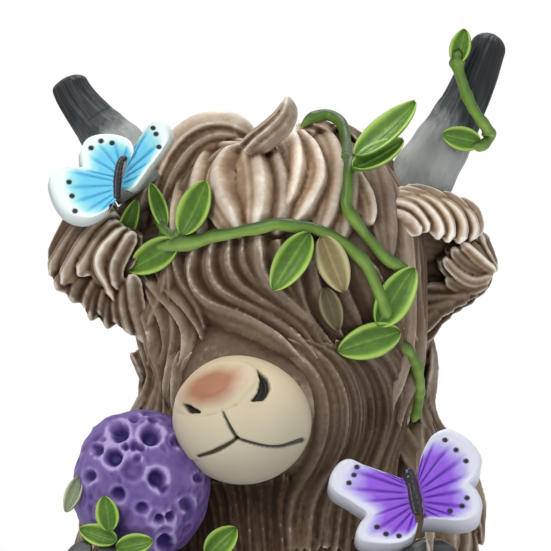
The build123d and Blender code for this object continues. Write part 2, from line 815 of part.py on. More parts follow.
# Vines
on_head = [head.part, forelock, *horns, *ears]
vines = []
brow_points = [face_point(shares, vine_lift) for shares in brow_vine_shares]
vines.append(save(seat(stem_along(brow_points, vine_diameter), on_head), "vine_brow"))
crown_points = [face_point(shares, high_vine_lift) for shares in crown_arch_shares]
crown_points += [face_point(shares, vine_lift) for shares in crown_vine_shares]
crown_vine = stem_along(crown_points, vine_diameter)
vines.append(save(seat(crown_vine, [crown_tuft, *on_head, *vines]), "vine_crown"))
neck_points = [face_point(shares, neck_vine_lift) for shares in neck_vine_shares]
vines.append(save(seat(stem_along(neck_points, vine_diameter), on_head + vines + [torso.part]), "vine_neck"))


def round_horn(line, place, turn, lift):
    """A point on a horn's skin at a share of its length and a turn from the front."""
    outward = Vector(sin(radians(turn)), -cos(radians(turn)), 0)
    along = line % place
    outward = (outward - along * outward.dot(along)).normalized()
    return line @ place + outward * (horn_diameter(place) / 2 + lift)


horn_vine_points = [
    round_horn(
        left_horn_line,
        between(*horn_vine_run_share, stop / (horn_vine_stops - 1)),
        between(*horn_vine_turns, stop / (horn_vine_stops - 1)),
        vine_diameter / 4,
    )
    for stop in range(horn_vine_stops)
]
vines.append(save(seat(stem_along(horn_vine_points, vine_diameter), [horns[1]]), "vine_horn"))

# Leaves
def leaf(root, direction, facing, length_share, width_share):
    """A pointed leaf with a groove for its middle vein. It starts at its root and looks to facing."""
    length = leaf_length * length_share
    width = leaf_width * width_share
    heading = Vector(cos(radians(direction)), 0, sin(radians(direction)))
    heading = (heading - facing * heading.dot(facing)).normalized()
    leaf_plane = Plane(origin=root, x_dir=heading, z_dir=facing)
    with BuildPart() as blade:
        with BuildSketch(leaf_plane.offset(-leaf_thickness / 2)):
            with BuildLine():
                ThreePointArc((0, 0), (length / 2, width / 2), (length, 0))
                ThreePointArc((length, 0), (length / 2, -width / 2), (0, 0))
            make_face()
        extrude(amount=leaf_thickness)
        with BuildSketch(leaf_plane.offset(leaf_thickness / 2 - groove_depth)):
            with Locations((length / 2, 0)):
                Rectangle(length * vein_share, vein_width)
        extrude(amount=groove_depth + overrun, mode=Mode.SUBTRACT)
    return blade.part


front = Vector(0, -1, 0)
leaves = []
for name, root_shares, direction, length_share, width_share, turn_share in head_leaf_shares:
    root = face_point(root_shares, leaf_root_lift)
    facing = (outward_at(root) * (1 - turn_share) + front * turn_share).normalized()
    blade = leaf(root, direction, facing, length_share, width_share)
    leaves.append(save(seat(blade, on_head + vines + leaves), name))

for name, place, turn, direction, length_share, width_share in horn_leaf_shares:
    root = round_horn(left_horn_line, place, turn, horn_leaf_lift)
    blade = leaf(root, direction, front, length_share, width_share)
    leaves.append(save(seat(blade, [horns[1], *vines, *leaves]), name))

# Blossom, its stem and its leaves
bloom_centre = Vector(bloom_side, -bloom_forward, wrist_height + bloom_over_wrist)


def pitted_bloom(centre, diameter, rows, carriers):
    """A rounded head of blossom, seated on what carries it, with rows of round pits over its front."""
    pits = []
    for pitch, count, step in rows:
        for number in range(count):
            turn = radians(pit_middle_turn + (number - (count - 1) / 2) * step)
            level, up = cos(radians(pitch)), sin(radians(pitch))
            outward = Vector(level * sin(turn), -level * cos(turn), up)
            pits.append(Plane(origin=centre + outward * (diameter / 2), z_dir=outward))
    with BuildPart() as ball:
        with Locations(centre):
            Sphere(radius=diameter / 2)
    with BuildPart() as bloom:
        add(seat(ball.part, carriers))
        with Locations(*pits):
            Sphere(radius=pit_diameter / 2, mode=Mode.SUBTRACT)
    return keep_largest(bloom.part)


held_by = [torso.part, head.part, muzzle_dome.part, forelegs[0], fore_hooves[0], hind_legs[0]]
upper_bloom = save(pitted_bloom(bloom_centre, bloom_diameter, pit_rows, held_by), "bloom_upper")
low_centre = Vector(low_bloom_side, -low_bloom_forward, wrist_height + low_bloom_over_wrist)
lower_bloom = save(
    pitted_bloom(low_centre, low_bloom_diameter, pit_rows[:2], held_by + [upper_bloom]), "bloom_lower"
)
with BuildPart() as stem:
    with BuildSketch(Plane((stem_side, -stem_forward, wrist_height - stem_under_wrist))):
        Circle(radius=stem_diameter / 2)
    extrude(amount=stem_length)
stem_piece = save(seat(stem.part, held_by + [upper_bloom, lower_bloom]), "bouquet_stem")

bunch = held_by + [upper_bloom, lower_bloom, stem_piece]
for name, shares, direction, length_share, width_share in bunch_leaf_shares:
    inside = 1 - shares[0] ** 2 - shares[1] ** 2
    root = bloom_centre + Vector(
        shares[0] * bloom_diameter / 2,
        -sqrt(max(inside, 0)) * bloom_diameter / 2 - leaf_thickness,
        shares[1] * bloom_diameter / 2,
    )
    blade = leaf(root, direction, front, length_share, width_share)
    leaves.append(save(seat(blade, bunch + leaves), name))

# Butterflies
def butterfly(place, colour, carriers):
    """Body and two wings, each wing one plate with a fore and a hind lobe."""
    with BuildPart() as body:
        with BuildSketch(Plane.XZ.offset(-butterfly_body_diameter / 2)):
            SlotOverall(butterfly_body_length, butterfly_body_diameter, rotation=90)
        extrude(amount=butterfly_body_diameter)
    body_piece = seat(body.part.moved(place), carriers)
    wings = []
    for side, name in sides:
        fore_points = [(side * wing_span * x, wing_length * y) for x, y in fore_wing_shares]
        hind_points = [(side * wing_span * x, wing_length * y) for x, y in hind_wing_shares]
        lift = Location((0, 0, 0), (0, 0, side * wing_lift))
        with BuildPart() as wing:
            with BuildSketch(Plane.XZ.offset(-wing_thickness / 2)):
                with BuildLine():
                    Spline(*fore_points)
                    Line(fore_points[-1], hind_points[0])
                    Spline(*hind_points)
                    Line(hind_points[-1], fore_points[0])
                make_face()
            extrude(amount=wing_thickness)
        wings.append(seat(wing.part.moved(place * lift), carriers + [body_piece, *wings]))
    save(body_piece, f"butterfly_{colour}_body")
    for (side, name), wing in zip(sides, wings):
        save(wing, f"butterfly_{colour}_wing_{name}")
    return [body_piece, *wings]


purple_place = Location(
    (purple_side, -purple_forward, wrist_height + purple_over_wrist), (0, purple_turn, 0)
)
blue_middle = skull_centre + Vector(-skull_width / 2 - blue_out, -blue_forward, blue_over_skull)
blue_place = Location(blue_middle, (0, blue_turn, 0)) * Location((0, 0, 0), (0, 0, -blue_yaw))
butterfly(purple_place, "purple", [torso.part, forelegs[1], fore_hooves[1]])
butterfly(blue_place, "blue", [head.part, forelock, horns[0], ears[0], *vines, *leaves])
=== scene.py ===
import math

import bmesh
import bpy
import numpy as np
from mathutils import Matrix, Vector
from mathutils.bvhtree import BVHTree


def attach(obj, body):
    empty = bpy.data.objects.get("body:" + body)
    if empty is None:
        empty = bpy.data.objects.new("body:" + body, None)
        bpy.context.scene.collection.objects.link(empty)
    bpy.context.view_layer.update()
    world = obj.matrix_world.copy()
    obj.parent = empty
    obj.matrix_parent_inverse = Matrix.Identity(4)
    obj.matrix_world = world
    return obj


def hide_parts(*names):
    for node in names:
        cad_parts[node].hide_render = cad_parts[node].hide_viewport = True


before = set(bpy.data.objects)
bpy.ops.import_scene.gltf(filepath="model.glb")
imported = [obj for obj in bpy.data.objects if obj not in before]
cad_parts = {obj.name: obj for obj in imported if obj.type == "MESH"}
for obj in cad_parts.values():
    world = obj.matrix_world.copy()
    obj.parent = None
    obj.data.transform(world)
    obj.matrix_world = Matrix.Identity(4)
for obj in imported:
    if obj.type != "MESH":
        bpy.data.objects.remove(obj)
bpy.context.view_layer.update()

rng = np.random.default_rng(11)

# Lengths are in millimetres until a piece is finished. Names with PIXELS hold places in the photograph, where
# a third number is a depth: the y in millimetres.
PICTURE_SIDE = 551
PIXEL_SIZE = 0.2  # millimetres on the object for each pixel
CAMERA_DISTANCE = 680.0
CAMERA_ELEVATION = math.radians(4)
AIM = np.array((0.0, -15.0, 115.1))
LOOK = np.array((0.0, math.cos(CAMERA_ELEVATION), -math.sin(CAMERA_ELEVATION)))
EYE = AIM - LOOK * CAMERA_DISTANCE
SCREEN_UP = np.array((0.0, math.sin(CAMERA_ELEVATION), math.cos(CAMERA_ELEVATION)))
SCREEN_RIGHT = np.array((1.0, 0.0, 0.0))
TO_VIEWER = np.array((0.0, -1.0, 0.0))
TINY = 1e-9
METRE = 1000.0


# Geometry helpers
def unit(vectors):
    """The vectors at length 1."""
    vectors = np.asarray(vectors, float)
    return vectors / np.maximum(np.linalg.norm(vectors, axis=-1, keepdims=True), TINY)


def bell(values, width):
    """1 where the values are 0, and fading to both sides."""
    return np.exp(-((values / width) ** 2))


def kept_in(values):
    """The values kept from 0 to 1."""
    return np.clip(values, 0, 1)


def sight(px, py):
    """The direction from the camera through a pixel, or through each of many."""
    across = (px - PICTURE_SIDE / 2) * PIXEL_SIZE / CAMERA_DISTANCE
    up = (PICTURE_SIDE / 2 - py) * PIXEL_SIZE / CAMERA_DISTANCE
    return unit(LOOK + np.multiply.outer(across, SCREEN_RIGHT) + np.multiply.outer(up, SCREEN_UP))


def at_depth(px, py, y):
    """The point seen at a pixel, or at each of many, whose y is given."""
    ray = sight(px, py)
    return EYE + ray * np.asarray(y - EYE[1])[..., None] / ray[..., 1:2]


def to_pixels(points):
    """Where points are seen, in pixels."""
    away = points - EYE
    scale = CAMERA_DISTANCE / PIXEL_SIZE
    px = away @ SCREEN_RIGHT / (away @ LOOK) * scale + PICTURE_SIDE / 2
    py = PICTURE_SIDE / 2 - away @ SCREEN_UP / (away @ LOOK) * scale
    return np.stack([px, py], 1)


def smooth_path(points, count):
    """Evenly spaced points on a Catmull-Rom line through the given ones."""
    p = np.asarray(points, float)
    ends = np.vstack([2 * p[0] - p[1], p, 2 * p[-1] - p[-2]])
    steps = 10  # from one given point to the next
    t = np.linspace(0, 1, steps, endpoint=False)[:, None]
    runs = []
    for i in range(len(p) - 1):
        a, b, c, d = ends[i : i + 4]
        curve = 2 * b + (c - a) * t + (2 * a - 5 * b + 4 * c - d) * t**2 + (3 * b - a - 3 * c + d) * t**3
        runs.append(0.5 * curve)
    line = np.vstack(runs + [p[-1:]])
    walked = np.concatenate([[0], np.cumsum(np.linalg.norm(np.diff(line, axis=0), axis=1))])
    places = np.linspace(0, walked[-1], count)
    return np.stack([np.interp(places, walked, line[:, k]) for k in range(line.shape[1])], 1)


def seen_path(stops, count):
    """A smooth path through pixels with depths."""
    return smooth_path([at_depth(*stop) for stop in stops], count)


def calmed(values, rounds):
    """The values with each drawn towards its two neighbours, and the ends kept."""
    for _ in range(rounds):
        values[1:-1] = (values[:-2] + 2 * values[1:-1] + values[2:]) / 4
    return values


def even_turns(count):
    return np.linspace(0, 2 * math.pi, count, endpoint=False)


class Shell:
    """Vertices, quads and paint tints of many closed forms, gathered for one remesh."""

    def __init__(self):
        self.points, self.quads, self.tints = [], [], []
        self.count = 0

    def take(self, points, quads, tint):
        self.points.append(np.asarray(points, float))
        self.quads.append(np.asarray(quads, int) + self.count)
        self.tints.append(np.full(len(quads), tint))
        self.count += len(points)

    def take_balls(self, *rows):
        """Rows of centre, radii, tint and, where the form is fuller than a ball, power."""
        for centre, radii, tint, *power in rows:
            self.take(*ball(centre, radii, *power), tint)

    def mesh(self, name):
        return quad_mesh(name, np.vstack(self.points), np.vstack(self.quads))


def quad_mesh(name, points, quads):
    """A mesh of quads only, straight from arrays."""
    mesh = bpy.data.meshes.new(name)
    mesh.vertices.add(len(points))
    mesh.vertices.foreach_set("co", np.asarray(points, np.float32).ravel())
    mesh.loops.add(len(quads) * 4)
    mesh.loops.foreach_set("vertex_index", np.asarray(quads, np.int32).ravel())
    mesh.polygons.add(len(quads))
    mesh.polygons.foreach_set("loop_start", np.arange(0, len(quads) * 4, 4, dtype=np.int32))
    mesh.update(calc_edges=True)
    mesh.validate()
    return mesh


def plate_mesh(name, top, bottom):
    """A closed plate between two grids of points."""
    rows, columns = top.shape[:2]
    count = rows * columns
    index = np.arange(count).reshape(rows, columns)
    quads = np.stack([index[:-1, :-1], index[1:, :-1], index[1:, 1:], index[:-1, 1:]], 2).reshape(-1, 4)
    border = np.concatenate([index[0, :-1], index[:-1, -1], index[-1, :0:-1], index[:0:-1, 0]])
    following = np.roll(border, -1)
    edge = np.stack([border, following, following + count, border + count], 1)
    points = np.vstack([top.reshape(-1, 3), bottom.reshape(-1, 3)])
    mesh = quad_mesh(name, points, np.vstack([quads, quads[:, ::-1] + count, edge]))
    bm = bmesh.new()
    bm.from_mesh(mesh)
    bmesh.ops.recalc_face_normals(bm, faces=bm.faces)
    bm.to_mesh(mesh)
    bm.free()
    return mesh


def sphere_mesh(name, subdivisions, is_fine=None):
    """A unit sphere of triangles, cut finer where is_fine accepts both ends of an edge."""
    bm = bmesh.new()
    bmesh.ops.create_icosphere(bm, subdivisions=subdivisions, radius=1.0)
    if is_fine:
        fine = [edge for edge in bm.edges if all(is_fine(vert.co) for vert in edge.verts)]
        bmesh.ops.subdivide_edges(bm, edges=fine, cuts=1, use_grid_fill=True)
        bmesh.ops.triangulate(bm, faces=bm.faces)
    mesh = bpy.data.meshes.new(name)
    bm.to_mesh(mesh)
    bm.free()
    return mesh


def ring_quads(rings, segments):
    """Quads between closed rings, with both ends capped."""
    i = np.arange(segments)
    j = (i + 1) % segments
    starts = np.arange(rings - 1) * segments
    sides = [np.stack([a + i, a + j, a + segments + j, a + segments + i], 1) for a in starts]
    half = np.arange(segments // 2 - 1)
    cap = np.stack([half, segments - 1 - half, segments - 2 - half, half + 1], 1)
    end = cap[:, [0, 3, 2, 1]] + (rings - 1) * segments
    return np.vstack(sides + [cap, end])


def frames(path, normal):
    """Side and up at each point of a path."""
    tangent = unit(np.gradient(path, axis=0))
    side = unit(np.cross(tangent, normal))
    return side, np.cross(side, tangent)


def lock_form(path, normal, width, thick, skew=0.0, ridges=0, depth=0.0, phase=0.0, sink=0.6, segments=16):
    """A lock of hair with grooves and a sharp crest that skew moves aside. Sink deepens its underside."""
    side, up = frames(path, normal)
    angle = even_turns(segments)
    x, y = np.cos(angle), np.sin(angle)
    slope = np.where(x < skew, (1 + x) / (1 + skew), (1 - x) / (1 - skew))
    rise = np.where(y > 0, np.maximum(slope, 0) ** 1.15 * (0.35 + 0.65 * np.sqrt(np.abs(y))), y * sink)
    wave = np.where(y > 0, np.cos(math.pi * ridges * x + phase) * y, 0)
    across = side[:, None] * (x[None, :, None] * (width / 2)[:, None, None])
    high = rise[None, :] * thick[:, None] + wave[None, :] * depth * np.minimum(1, thick)[:, None]
    points = path[:, None] + across + up[:, None] * high[:, :, None]
    return points.reshape(-1, 3), ring_quads(len(path), segments)


def ring_outward(path, segments):
    """The outward directions of rings round a path."""
    side, up = frames(path, -TO_VIEWER)
    angle = even_turns(segments)
    return side[:, None] * np.cos(angle)[None, :, None] + up[:, None] * np.sin(angle)[None, :, None]


def round_form(path, radii, segments=24):
    """A round tube whose radius changes along it."""
    points = path[:, None] + ring_outward(path, segments) * radii[:, None, None]
    return points.reshape(-1, 3), ring_quads(len(path), segments)


def ball(centre, radii, power=2.0):
    """A closed round form. A power above 2 makes it fuller."""
    rings, segments, pole = 48, 64, 0.01
    pitch = np.linspace(-math.pi / 2, math.pi / 2, rings)
    pitch[0] += pole
    pitch[-1] -= pole
    turn = even_turns(segments)
    across, along = np.cos(pitch)[:, None] * np.cos(turn)[None], np.cos(pitch)[:, None] * np.sin(turn)[None]
    direction = np.stack([across, along, np.sin(pitch)[:, None] * np.ones(segments)[None]], 2)
    level = np.hypot(across, along)
    reach = (level**power + np.abs(direction[:, :, 2]) ** power) ** (-1 / power)
    points = np.asarray(centre) + direction * reach[:, :, None] * np.asarray(radii)
    return points.reshape(-1, 3), ring_quads(rings, segments)


def resampled(values, count):
    """The values at even places, read at many even places between them."""
    return np.interp(np.linspace(0, 1, count), np.linspace(0, 1, len(values)), values)


def limb(points, radii):
    """A tapering round form along a few points, with round ends."""
    rings = 30
    line = smooth_path(points, rings)
    thick = resampled(radii, rings)
    end_places, end_radii = np.array([0.45, 0.8, 0.98]), np.array([0.89, 0.6, 0.2])
    start = line[0] - unit(line[1] - line[0]) * thick[0] * end_places[::-1, None]
    stop = line[-1] + unit(line[-1] - line[-2]) * thick[-1] * end_places[:, None]
    thick = np.concatenate([thick[0] * end_radii[::-1], thick, thick[-1] * end_radii])
    return round_form(np.vstack([start, line, stop]), thick)


def evaluated(mesh, kind, **settings):
    """The mesh after one modifier."""
    obj = bpy.data.objects.new("working", mesh)
    bpy.context.scene.collection.objects.link(obj)
    modifier = obj.modifiers.new("step", kind)
    for key, value in settings.items():
        setattr(modifier, key, value)
    graph = bpy.context.evaluated_depsgraph_get()
    result = bpy.data.meshes.new_from_object(obj.evaluated_get(graph), depsgraph=graph)
    bpy.data.objects.remove(obj)
    return result


def fused(mesh, voxel):
    """One closed skin round everything in the mesh."""
    return evaluated(mesh, "REMESH", mode="VOXEL", voxel_size=voxel, use_smooth_shade=True)


def read_array(collection, key, per_item, kind):
    """One value of every item of a mesh, such as its vertices, as an array."""
    values = np.empty(len(collection) * per_item, kind)
    collection.foreach_get(key, values)
    return values.reshape(-1, per_item)


def coordinates(mesh):
    return read_array(mesh.vertices, "co", 3, np.float32).astype(float)


def normals_of(mesh):
    return read_array(mesh.vertices, "normal", 3, np.float32).astype(float)


def edge_pairs(mesh):
    return read_array(mesh.edges, "vertices", 2, np.int32)


def relaxed(points, edges, rounds):
    """The points drawn halfway to the middle of their neighbours, a number of times."""
    a, b = edges[:, 0], edges[:, 1]
    size = len(points)
    degree = np.maximum(np.bincount(a, minlength=size) + np.bincount(b, minlength=size), 1)[:, None]
    for _ in range(rounds):
        sums = [np.bincount(a, column[b], size) + np.bincount(b, column[a], size) for column in points.T]
        points = points + (np.stack(sums, 1) / degree - points) * 0.5
    return points


def set_points(mesh, points):
    mesh.vertices.foreach_set("co", points.astype(np.float32).ravel())
    mesh.update()


def give(mesh, name, values):
    """Stores one number for each vertex, which a material reads."""
    attribute = mesh.attributes.new(name, "FLOAT", "POINT")
    attribute.data.foreach_set("value", np.asarray(values, np.float32))


def ridge_values(mesh, fine=4, coarse=30):
    """How far each vertex stands out of its surroundings: 0 in creases, 1 on crests."""
    points, edges, normals = coordinates(mesh), edge_pairs(mesh), normals_of(mesh)
    near = relaxed(points, edges, fine)
    far = relaxed(near, edges, coarse)
    small = np.einsum("ij,ij->i", points - near, normals)
    large = np.einsum("ij,ij->i", points - far, normals)
    contrast = 0.22
    values = small / (np.std(small) + TINY) * 0.5 + large / (np.std(large) + TINY) * 0.5
    return kept_in(0.5 + relaxed(values[:, None], edges, 1)[:, 0] * contrast)


def tree_of(mesh):
    points = [Vector(p) for p in coordinates(mesh)]
    return BVHTree.FromPolygons(points, [tuple(p.vertices) for p in mesh.polygons])


def smoothed(shell, voxel, rounds):
    """The gathered forms as one smooth skin to lay hair on, ready to be searched."""
    mesh = fused(shell.mesh("skin"), voxel)
    set_points(mesh, relaxed(coordinates(mesh), edge_pairs(mesh), rounds))
    return tree_of(mesh)


def linked(name, data):
    """A new object in the scene."""
    obj = bpy.data.objects.new(name, data)
    bpy.context.scene.collection.objects.link(obj)
    return obj


def finish(mesh, name, material, nodes=()):
    """Turns a mesh in millimetres into a named piece of the object."""
    mesh.transform(Matrix.Scale(1 / METRE, 4))
    mesh.name = name
    obj = linked(name, mesh)
    mesh.polygons.foreach_set("use_smooth", np.ones(len(mesh.polygons), bool))
    mesh.materials.clear()
    mesh.materials.append(material)
    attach(obj, "root")
    if nodes:
        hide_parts(*nodes)


def grown(shell, name, voxel, limit):
    """The gathered forms as one skin above the floor, with at most limit triangles, and its paint values."""
    raw = shell.mesh(name)
    mesh = fused(raw, voxel)
    triangles = 2 * len(mesh.polygons)
    points = relaxed(coordinates(mesh), edge_pairs(mesh), 1)
    points[:, 2] = np.maximum(points[:, 2], FELT)
    set_points(mesh, points)
    if triangles > limit:
        mesh = evaluated(mesh, "DECIMATE", ratio=limit / triangles)
    give(mesh, "ridge", ridge_values(mesh))
    tree = tree_of(raw)
    tints = np.concatenate(shell.tints)
    give(mesh, "tint", [tints[tree.find_nearest(Vector(p))[2]] for p in coordinates(mesh)])
    return mesh


# Materials
WHITE = (1.0, 1.0, 1.0, 1.0)


def colour(red, green, blue):
    """A linear colour from the usual 0 to 255 numbers."""
    linear = [v / 255 / 12.92 if v <= 10 else ((v / 255 + 0.055) / 1.055) ** 2.4 for v in (red, green, blue)]
    return (*linear, 1.0)


class Nodes:
    """Short ways to add nodes to a tree. A number or a colour may stand where a socket does."""

    def __init__(self, tree):
        self.tree = tree

    def feed(self, socket, value):
        if isinstance(value, bpy.types.NodeSocket):
            self.tree.links.new(value, socket)
        else:
            socket.default_value = value

    def add(self, kind, sockets, output=0, **settings):
        """The output of a new node."""
        node = self.tree.nodes.new("ShaderNode" + kind)
        for key, value in settings.items():
            setattr(node, key, value)
        for key, value in sockets.items():
            self.feed(node.inputs[key], value)
        return node.outputs[output]

    def math(self, operation, first, second, clamp=False):
        return self.add("Math", {0: first, 1: second}, operation=operation, use_clamp=clamp)

    def span(self, value, low, high, first=0.0, second=1.0):
        """The value carried from low and high to first and second."""
        ends = {"From Min": low, "From Max": high, "To Min": first, "To Max": second}
        return self.add("MapRange", {"Value": value, **ends})

    def direct(self):
        """1 where the camera looks, also by a mirror or through glass, and 0 for light that falls on things."""
        rays = self.tree.nodes.new("ShaderNodeLightPath").outputs
        either = self.math("MAXIMUM", rays["Is Camera Ray"], rays["Is Glossy Ray"])
        return self.math("MAXIMUM", either, rays["Is Transmission Ray"])


class Paint(Nodes):
    """A material and the parts that most paints here need."""

    def __init__(self, name, **sockets):
        self.material = bpy.data.materials.new(name)
        self.material.use_nodes = True
        super().__init__(self.material.node_tree)
        self.shader = self.tree.nodes["Principled BSDF"]
        for key, value in sockets.items():
            self.shader.inputs[key.replace("_", " ")].default_value = value
        self.place = self.tree.nodes.new("ShaderNodeTexCoord").outputs["Object"]

    def value(self, name):
        return self.add("Attribute", {}, "Fac", attribute_name=name)

    def noise(self, scale, detail, roughness=0.55, distortion=0.0, stretch=None):
        vector = self.add("Mapping", {"Scale": stretch, "Vector": self.place}) if stretch else self.place
        settings = {"Scale": scale, "Detail": detail, "Roughness": roughness, "Distortion": distortion}
        return self.add("TexNoise", {"Vector": vector, **settings}, "Fac")

    def uneven(self, value, noise, amount, clamp=True):
        """The value moved up and down by a noise."""
        swing = self.math("MULTIPLY", self.math("SUBTRACT", noise, 0.5), amount)
        return self.math("ADD", value, swing, clamp)

    def ramp(self, value, stops):
        """A colour ramp from rows of place, red, green and blue."""
        node = self.tree.nodes.new("ShaderNodeValToRGB")
        ramp = node.color_ramp
        while len(ramp.elements) < len(stops):
            ramp.elements.new(0.5)
        for element, (position, *shade) in zip(ramp.elements, stops):
            element.position = position
            element.color = colour(*shade)
        self.feed(node.inputs["Fac"], value)
        return node.outputs["Color"]

    def mix(self, factor, first, second):
        return self.add("Mix", {0: factor, 6: first, 7: second}, 2, data_type="RGBA")

    def faint(self, value, amount):
        return self.math("MULTIPLY", value, amount, clamp=True)

    def bump(self, height, strength, distance):
        relief = self.add("Bump", {"Strength": strength, "Distance": distance, "Height": height}, "Normal")
        self.feed(self.shader.inputs["Normal"], relief)

    def paint(self, shade):
        self.feed(self.shader.inputs["Base Color"], shade)
        return self.material


# Coat ramps run from creases to crests. Their darkest stops are painted shade in the creases as well as the
# brown wash.
COAT_DARK = (
    (0.0, 14, 9, 6), (0.28, 38, 26, 17), (0.54, 59, 43, 30), (0.76, 91, 72, 57), (0.96, 172, 158, 142),
)
COAT_PALE = (
    (0.0, 44, 29, 20), (0.28, 114, 88, 66), (0.5, 172, 146, 120), (0.7, 212, 195, 176), (0.92, 250, 244, 234),
)


def coat_paint():
    """Brown wash with cream brushwork on the crests, paler where the tint is high. The darkest browns, deep in
    the creases, are painted shade as well as the wash.
    """
    p = Paint("coat_brushwork_and_painted_shade", Roughness=0.62, Specular_IOR_Level=0.1)
    brush_and_crease_shade = p.uneven(p.value("ridge"), p.noise(900, 4, 0.6), 0.22, clamp=False)
    brush_and_crease_shade = p.uneven(brush_and_crease_shade, p.noise(90, 3, 0.5), 0.12)
    p.bump(p.noise(1600, 4, 0.6), 0.12, 0.0002)
    return p.paint(p.mix(p.value("tint"), p.ramp(brush_and_crease_shade, COAT_DARK), p.ramp(brush_and_crease_shade, COAT_PALE)))


def green_paint(name, deep, middle, bright):
    # The ridge value sets the green. For the stems it is painted light: paler where they face up and darker on
    # their sides. For the leaves it marks the paler rim, rib and veins.
    p = Paint(name, Roughness=0.42, Specular_IOR_Level=0.3)
    lightness = p.uneven(p.value("ridge"), p.noise(260, 4), 0.35)
    p.bump(p.noise(1300, 3), 0.12, 0.0002)
    return p.paint(p.ramp(lightness, ((0.1, *deep), (0.5, *middle), (0.95, *bright))))


coat = coat_paint()
vine_green = green_paint("vine_green", (48, 72, 20), (98, 132, 50), (168, 196, 110))
leaf_green = green_paint("leaf_green", (44, 72, 14), (96, 136, 46), (170, 198, 100))
olive = green_paint("leaf_olive", (84, 76, 40), (146, 134, 92), (186, 176, 136))
umber = green_paint("leaf_umber", (52, 46, 28), (92, 84, 56), (134, 124, 92))
sage = green_paint("leaf_sage", (92, 108, 78), (140, 152, 122), (188, 196, 168))

# Voxel and most triangles of each kind of hair
MAIN_HAIR, TORSO_HAIR, LIMB_HAIR = (0.34, 190000), (0.5, 180000), (0.42, 120000)
TAIL_HAIR, EAR_HAIR = (0.34, 60000), (0.28, 130000)
# Voxel and rounds of smoothing of the skins below the hair
BODY_SKIN, LIMB_SKIN = (1.2, 10), (1.0, 6)
# Points along a lock, and depths to try where a line of sight misses
LOCK_STEPS, TUFT_STEPS, FAN_STEPS, HEAD_STEPS, MANE_STEPS, COAT_STEPS, LIMB_STEPS = 34, 30, 36, 44, 36, 30, 26
SKIN_DEPTHS, HAIR_DEPTHS = range(-50, 30, 4), range(-30, 10)

# Base forms that the hair lies on
SKULL = np.array((3.0, -2.0, 112.0))
TORSO_AXIS = (0.0, 4.0)
TORSO_RADIUS, TORSO_HEIGHT = 36.0, 102.0
TORSO_SHARES = ((0.92, 0.0), (1.0, 0.18), (0.95, 0.40), (0.85, 0.60), (0.79, 0.75), (0.70, 0.88), (0.50, 1.0))
FELT = 1.2  # the thickness of the sheet under the casting


def torso_form():
    """The pear-shaped torso as a turned form."""
    rings, segments = 60, 96
    outline = smooth_path([(TORSO_RADIUS * w, FELT + TORSO_HEIGHT * h) for w, h in TORSO_SHARES], rings)
    turn = even_turns(segments)
    x = TORSO_AXIS[0] + outline[:, :1] * np.cos(turn)
    y = TORSO_AXIS[1] + outline[:, :1] * np.sin(turn)
    points = np.stack([x, y, np.repeat(outline[:, 1:], segments, 1)], 2)
    return points.reshape(-1, 3), ring_quads(rings, segments)


def foreleg_line(side):
    wrist = -35.0 if side < 0 else 30.0
    return [(side * 25.5, 0.0, 77.2), (side * 34.0, -6.0, 45.2), (wrist, -34.0, 50.7)]


def head_forms(shell):
    shell.take_balls(
        (SKULL, (26.0, 26.0, 30.0), 0.3, 2.5),
        ((-2.0, -16.0, 92.0), (19.4, 19.4, 19.4), 0.05),
        ((3.4, 1.0, 92.0), (25.0, 21.0, 22.0), 0.05),
        ((-19.0, -3.0, 106.0), (8.5, 9.0, 15.0), 0.2),
        ((22.0, -3.0, 102.0), (8.0, 11.0, 18.0), 0.2),
    )


def body_forms(shell):
    shell.take(*torso_form(), 0.1)
    for side in (-1, 1):
        shell.take(*ball((side * 26.5, -1.0, 64.0), (12.5, 13.0, 18.0)), 0.1)


def leg_forms(shell):
    for side in (-1, 1):
        shell.take(*limb(foreleg_line(side), (9.0, 10.5, 7.8)), 0.1)
        shell.take(*ball((side * 26.0, -4.0, 16.2), (15.0, 23.0, 20.0)), 0.1)
        shell.take(*limb([(side * 26.0, -14.0, 12.6), (side * 30.0, -49.0, 10.6)], (12.0, 10.0)), 0.1)


def skin_of(*makers):
    shell = Shell()
    for maker in makers:
        maker(shell)
    return smoothed(shell, *BODY_SKIN)


skin = skin_of(head_forms, body_forms, leg_forms)
trunk = skin_of(head_forms, body_forms)


# Lines on a surface
def nearest_pass(tree, px, py, depths):
    """Where a pixel's line of sight passes nearest to a surface, and the normal there."""
    finds = [(tree.find_nearest(Vector(at_depth(px, py, y))), y) for y in depths]
    near, y = min(finds, key=lambda find: find[0][3])
    return at_depth(px, py, y), np.array(near[1])


def seen_on(tree, px, py, lift=0.0):
    """The point of a surface that is seen at a pixel, or nearest to its line of sight, and the normal."""
    hit = tree.ray_cast(Vector(EYE), Vector(sight(px, py)))
    if hit[0] is None:
        return nearest_pass(tree, px, py, SKIN_DEPTHS)
    place, normal = np.array(hit[0]), np.array(hit[1])
    return place + normal * lift, normal


def settled(spots, rounds):
    """The path through spots on a surface and its normals, both calmed."""
    line, normal = (np.array(part) for part in zip(*spots))
    return calmed(line, rounds), unit(calmed(normal, rounds))


def drawn(pixels, count, tree, lift=0.0):
    """A path on a surface and its normals, from pixels."""
    return settled([seen_on(tree, px, py, lift) for px, py in smooth_path(pixels, count)], 3)


def hung(pixels, depths, count):
    """A path from pixels and from depths that are spaced evenly along it."""
    path = smooth_path(pixels, count)
    return calmed(at_depth(path[:, 0], path[:, 1], resampled(depths, count)), 3)


def about_skull(turn, pitch):
    """The centre of the skull and the way out of it at two angles in degrees."""
    turn, pitch = math.radians(turn), math.radians(pitch)
    level = math.cos(pitch)
    return SKULL, np.array((level * math.sin(turn), -level * math.cos(turn), math.sin(pitch)))


def about_torso(turn, height):
    """The torso's axis at a height and the way out of it at an angle in degrees."""
    turn = math.radians(turn)
    return np.array((*TORSO_AXIS, height)), np.array((math.sin(turn), -math.cos(turn), 0.0))


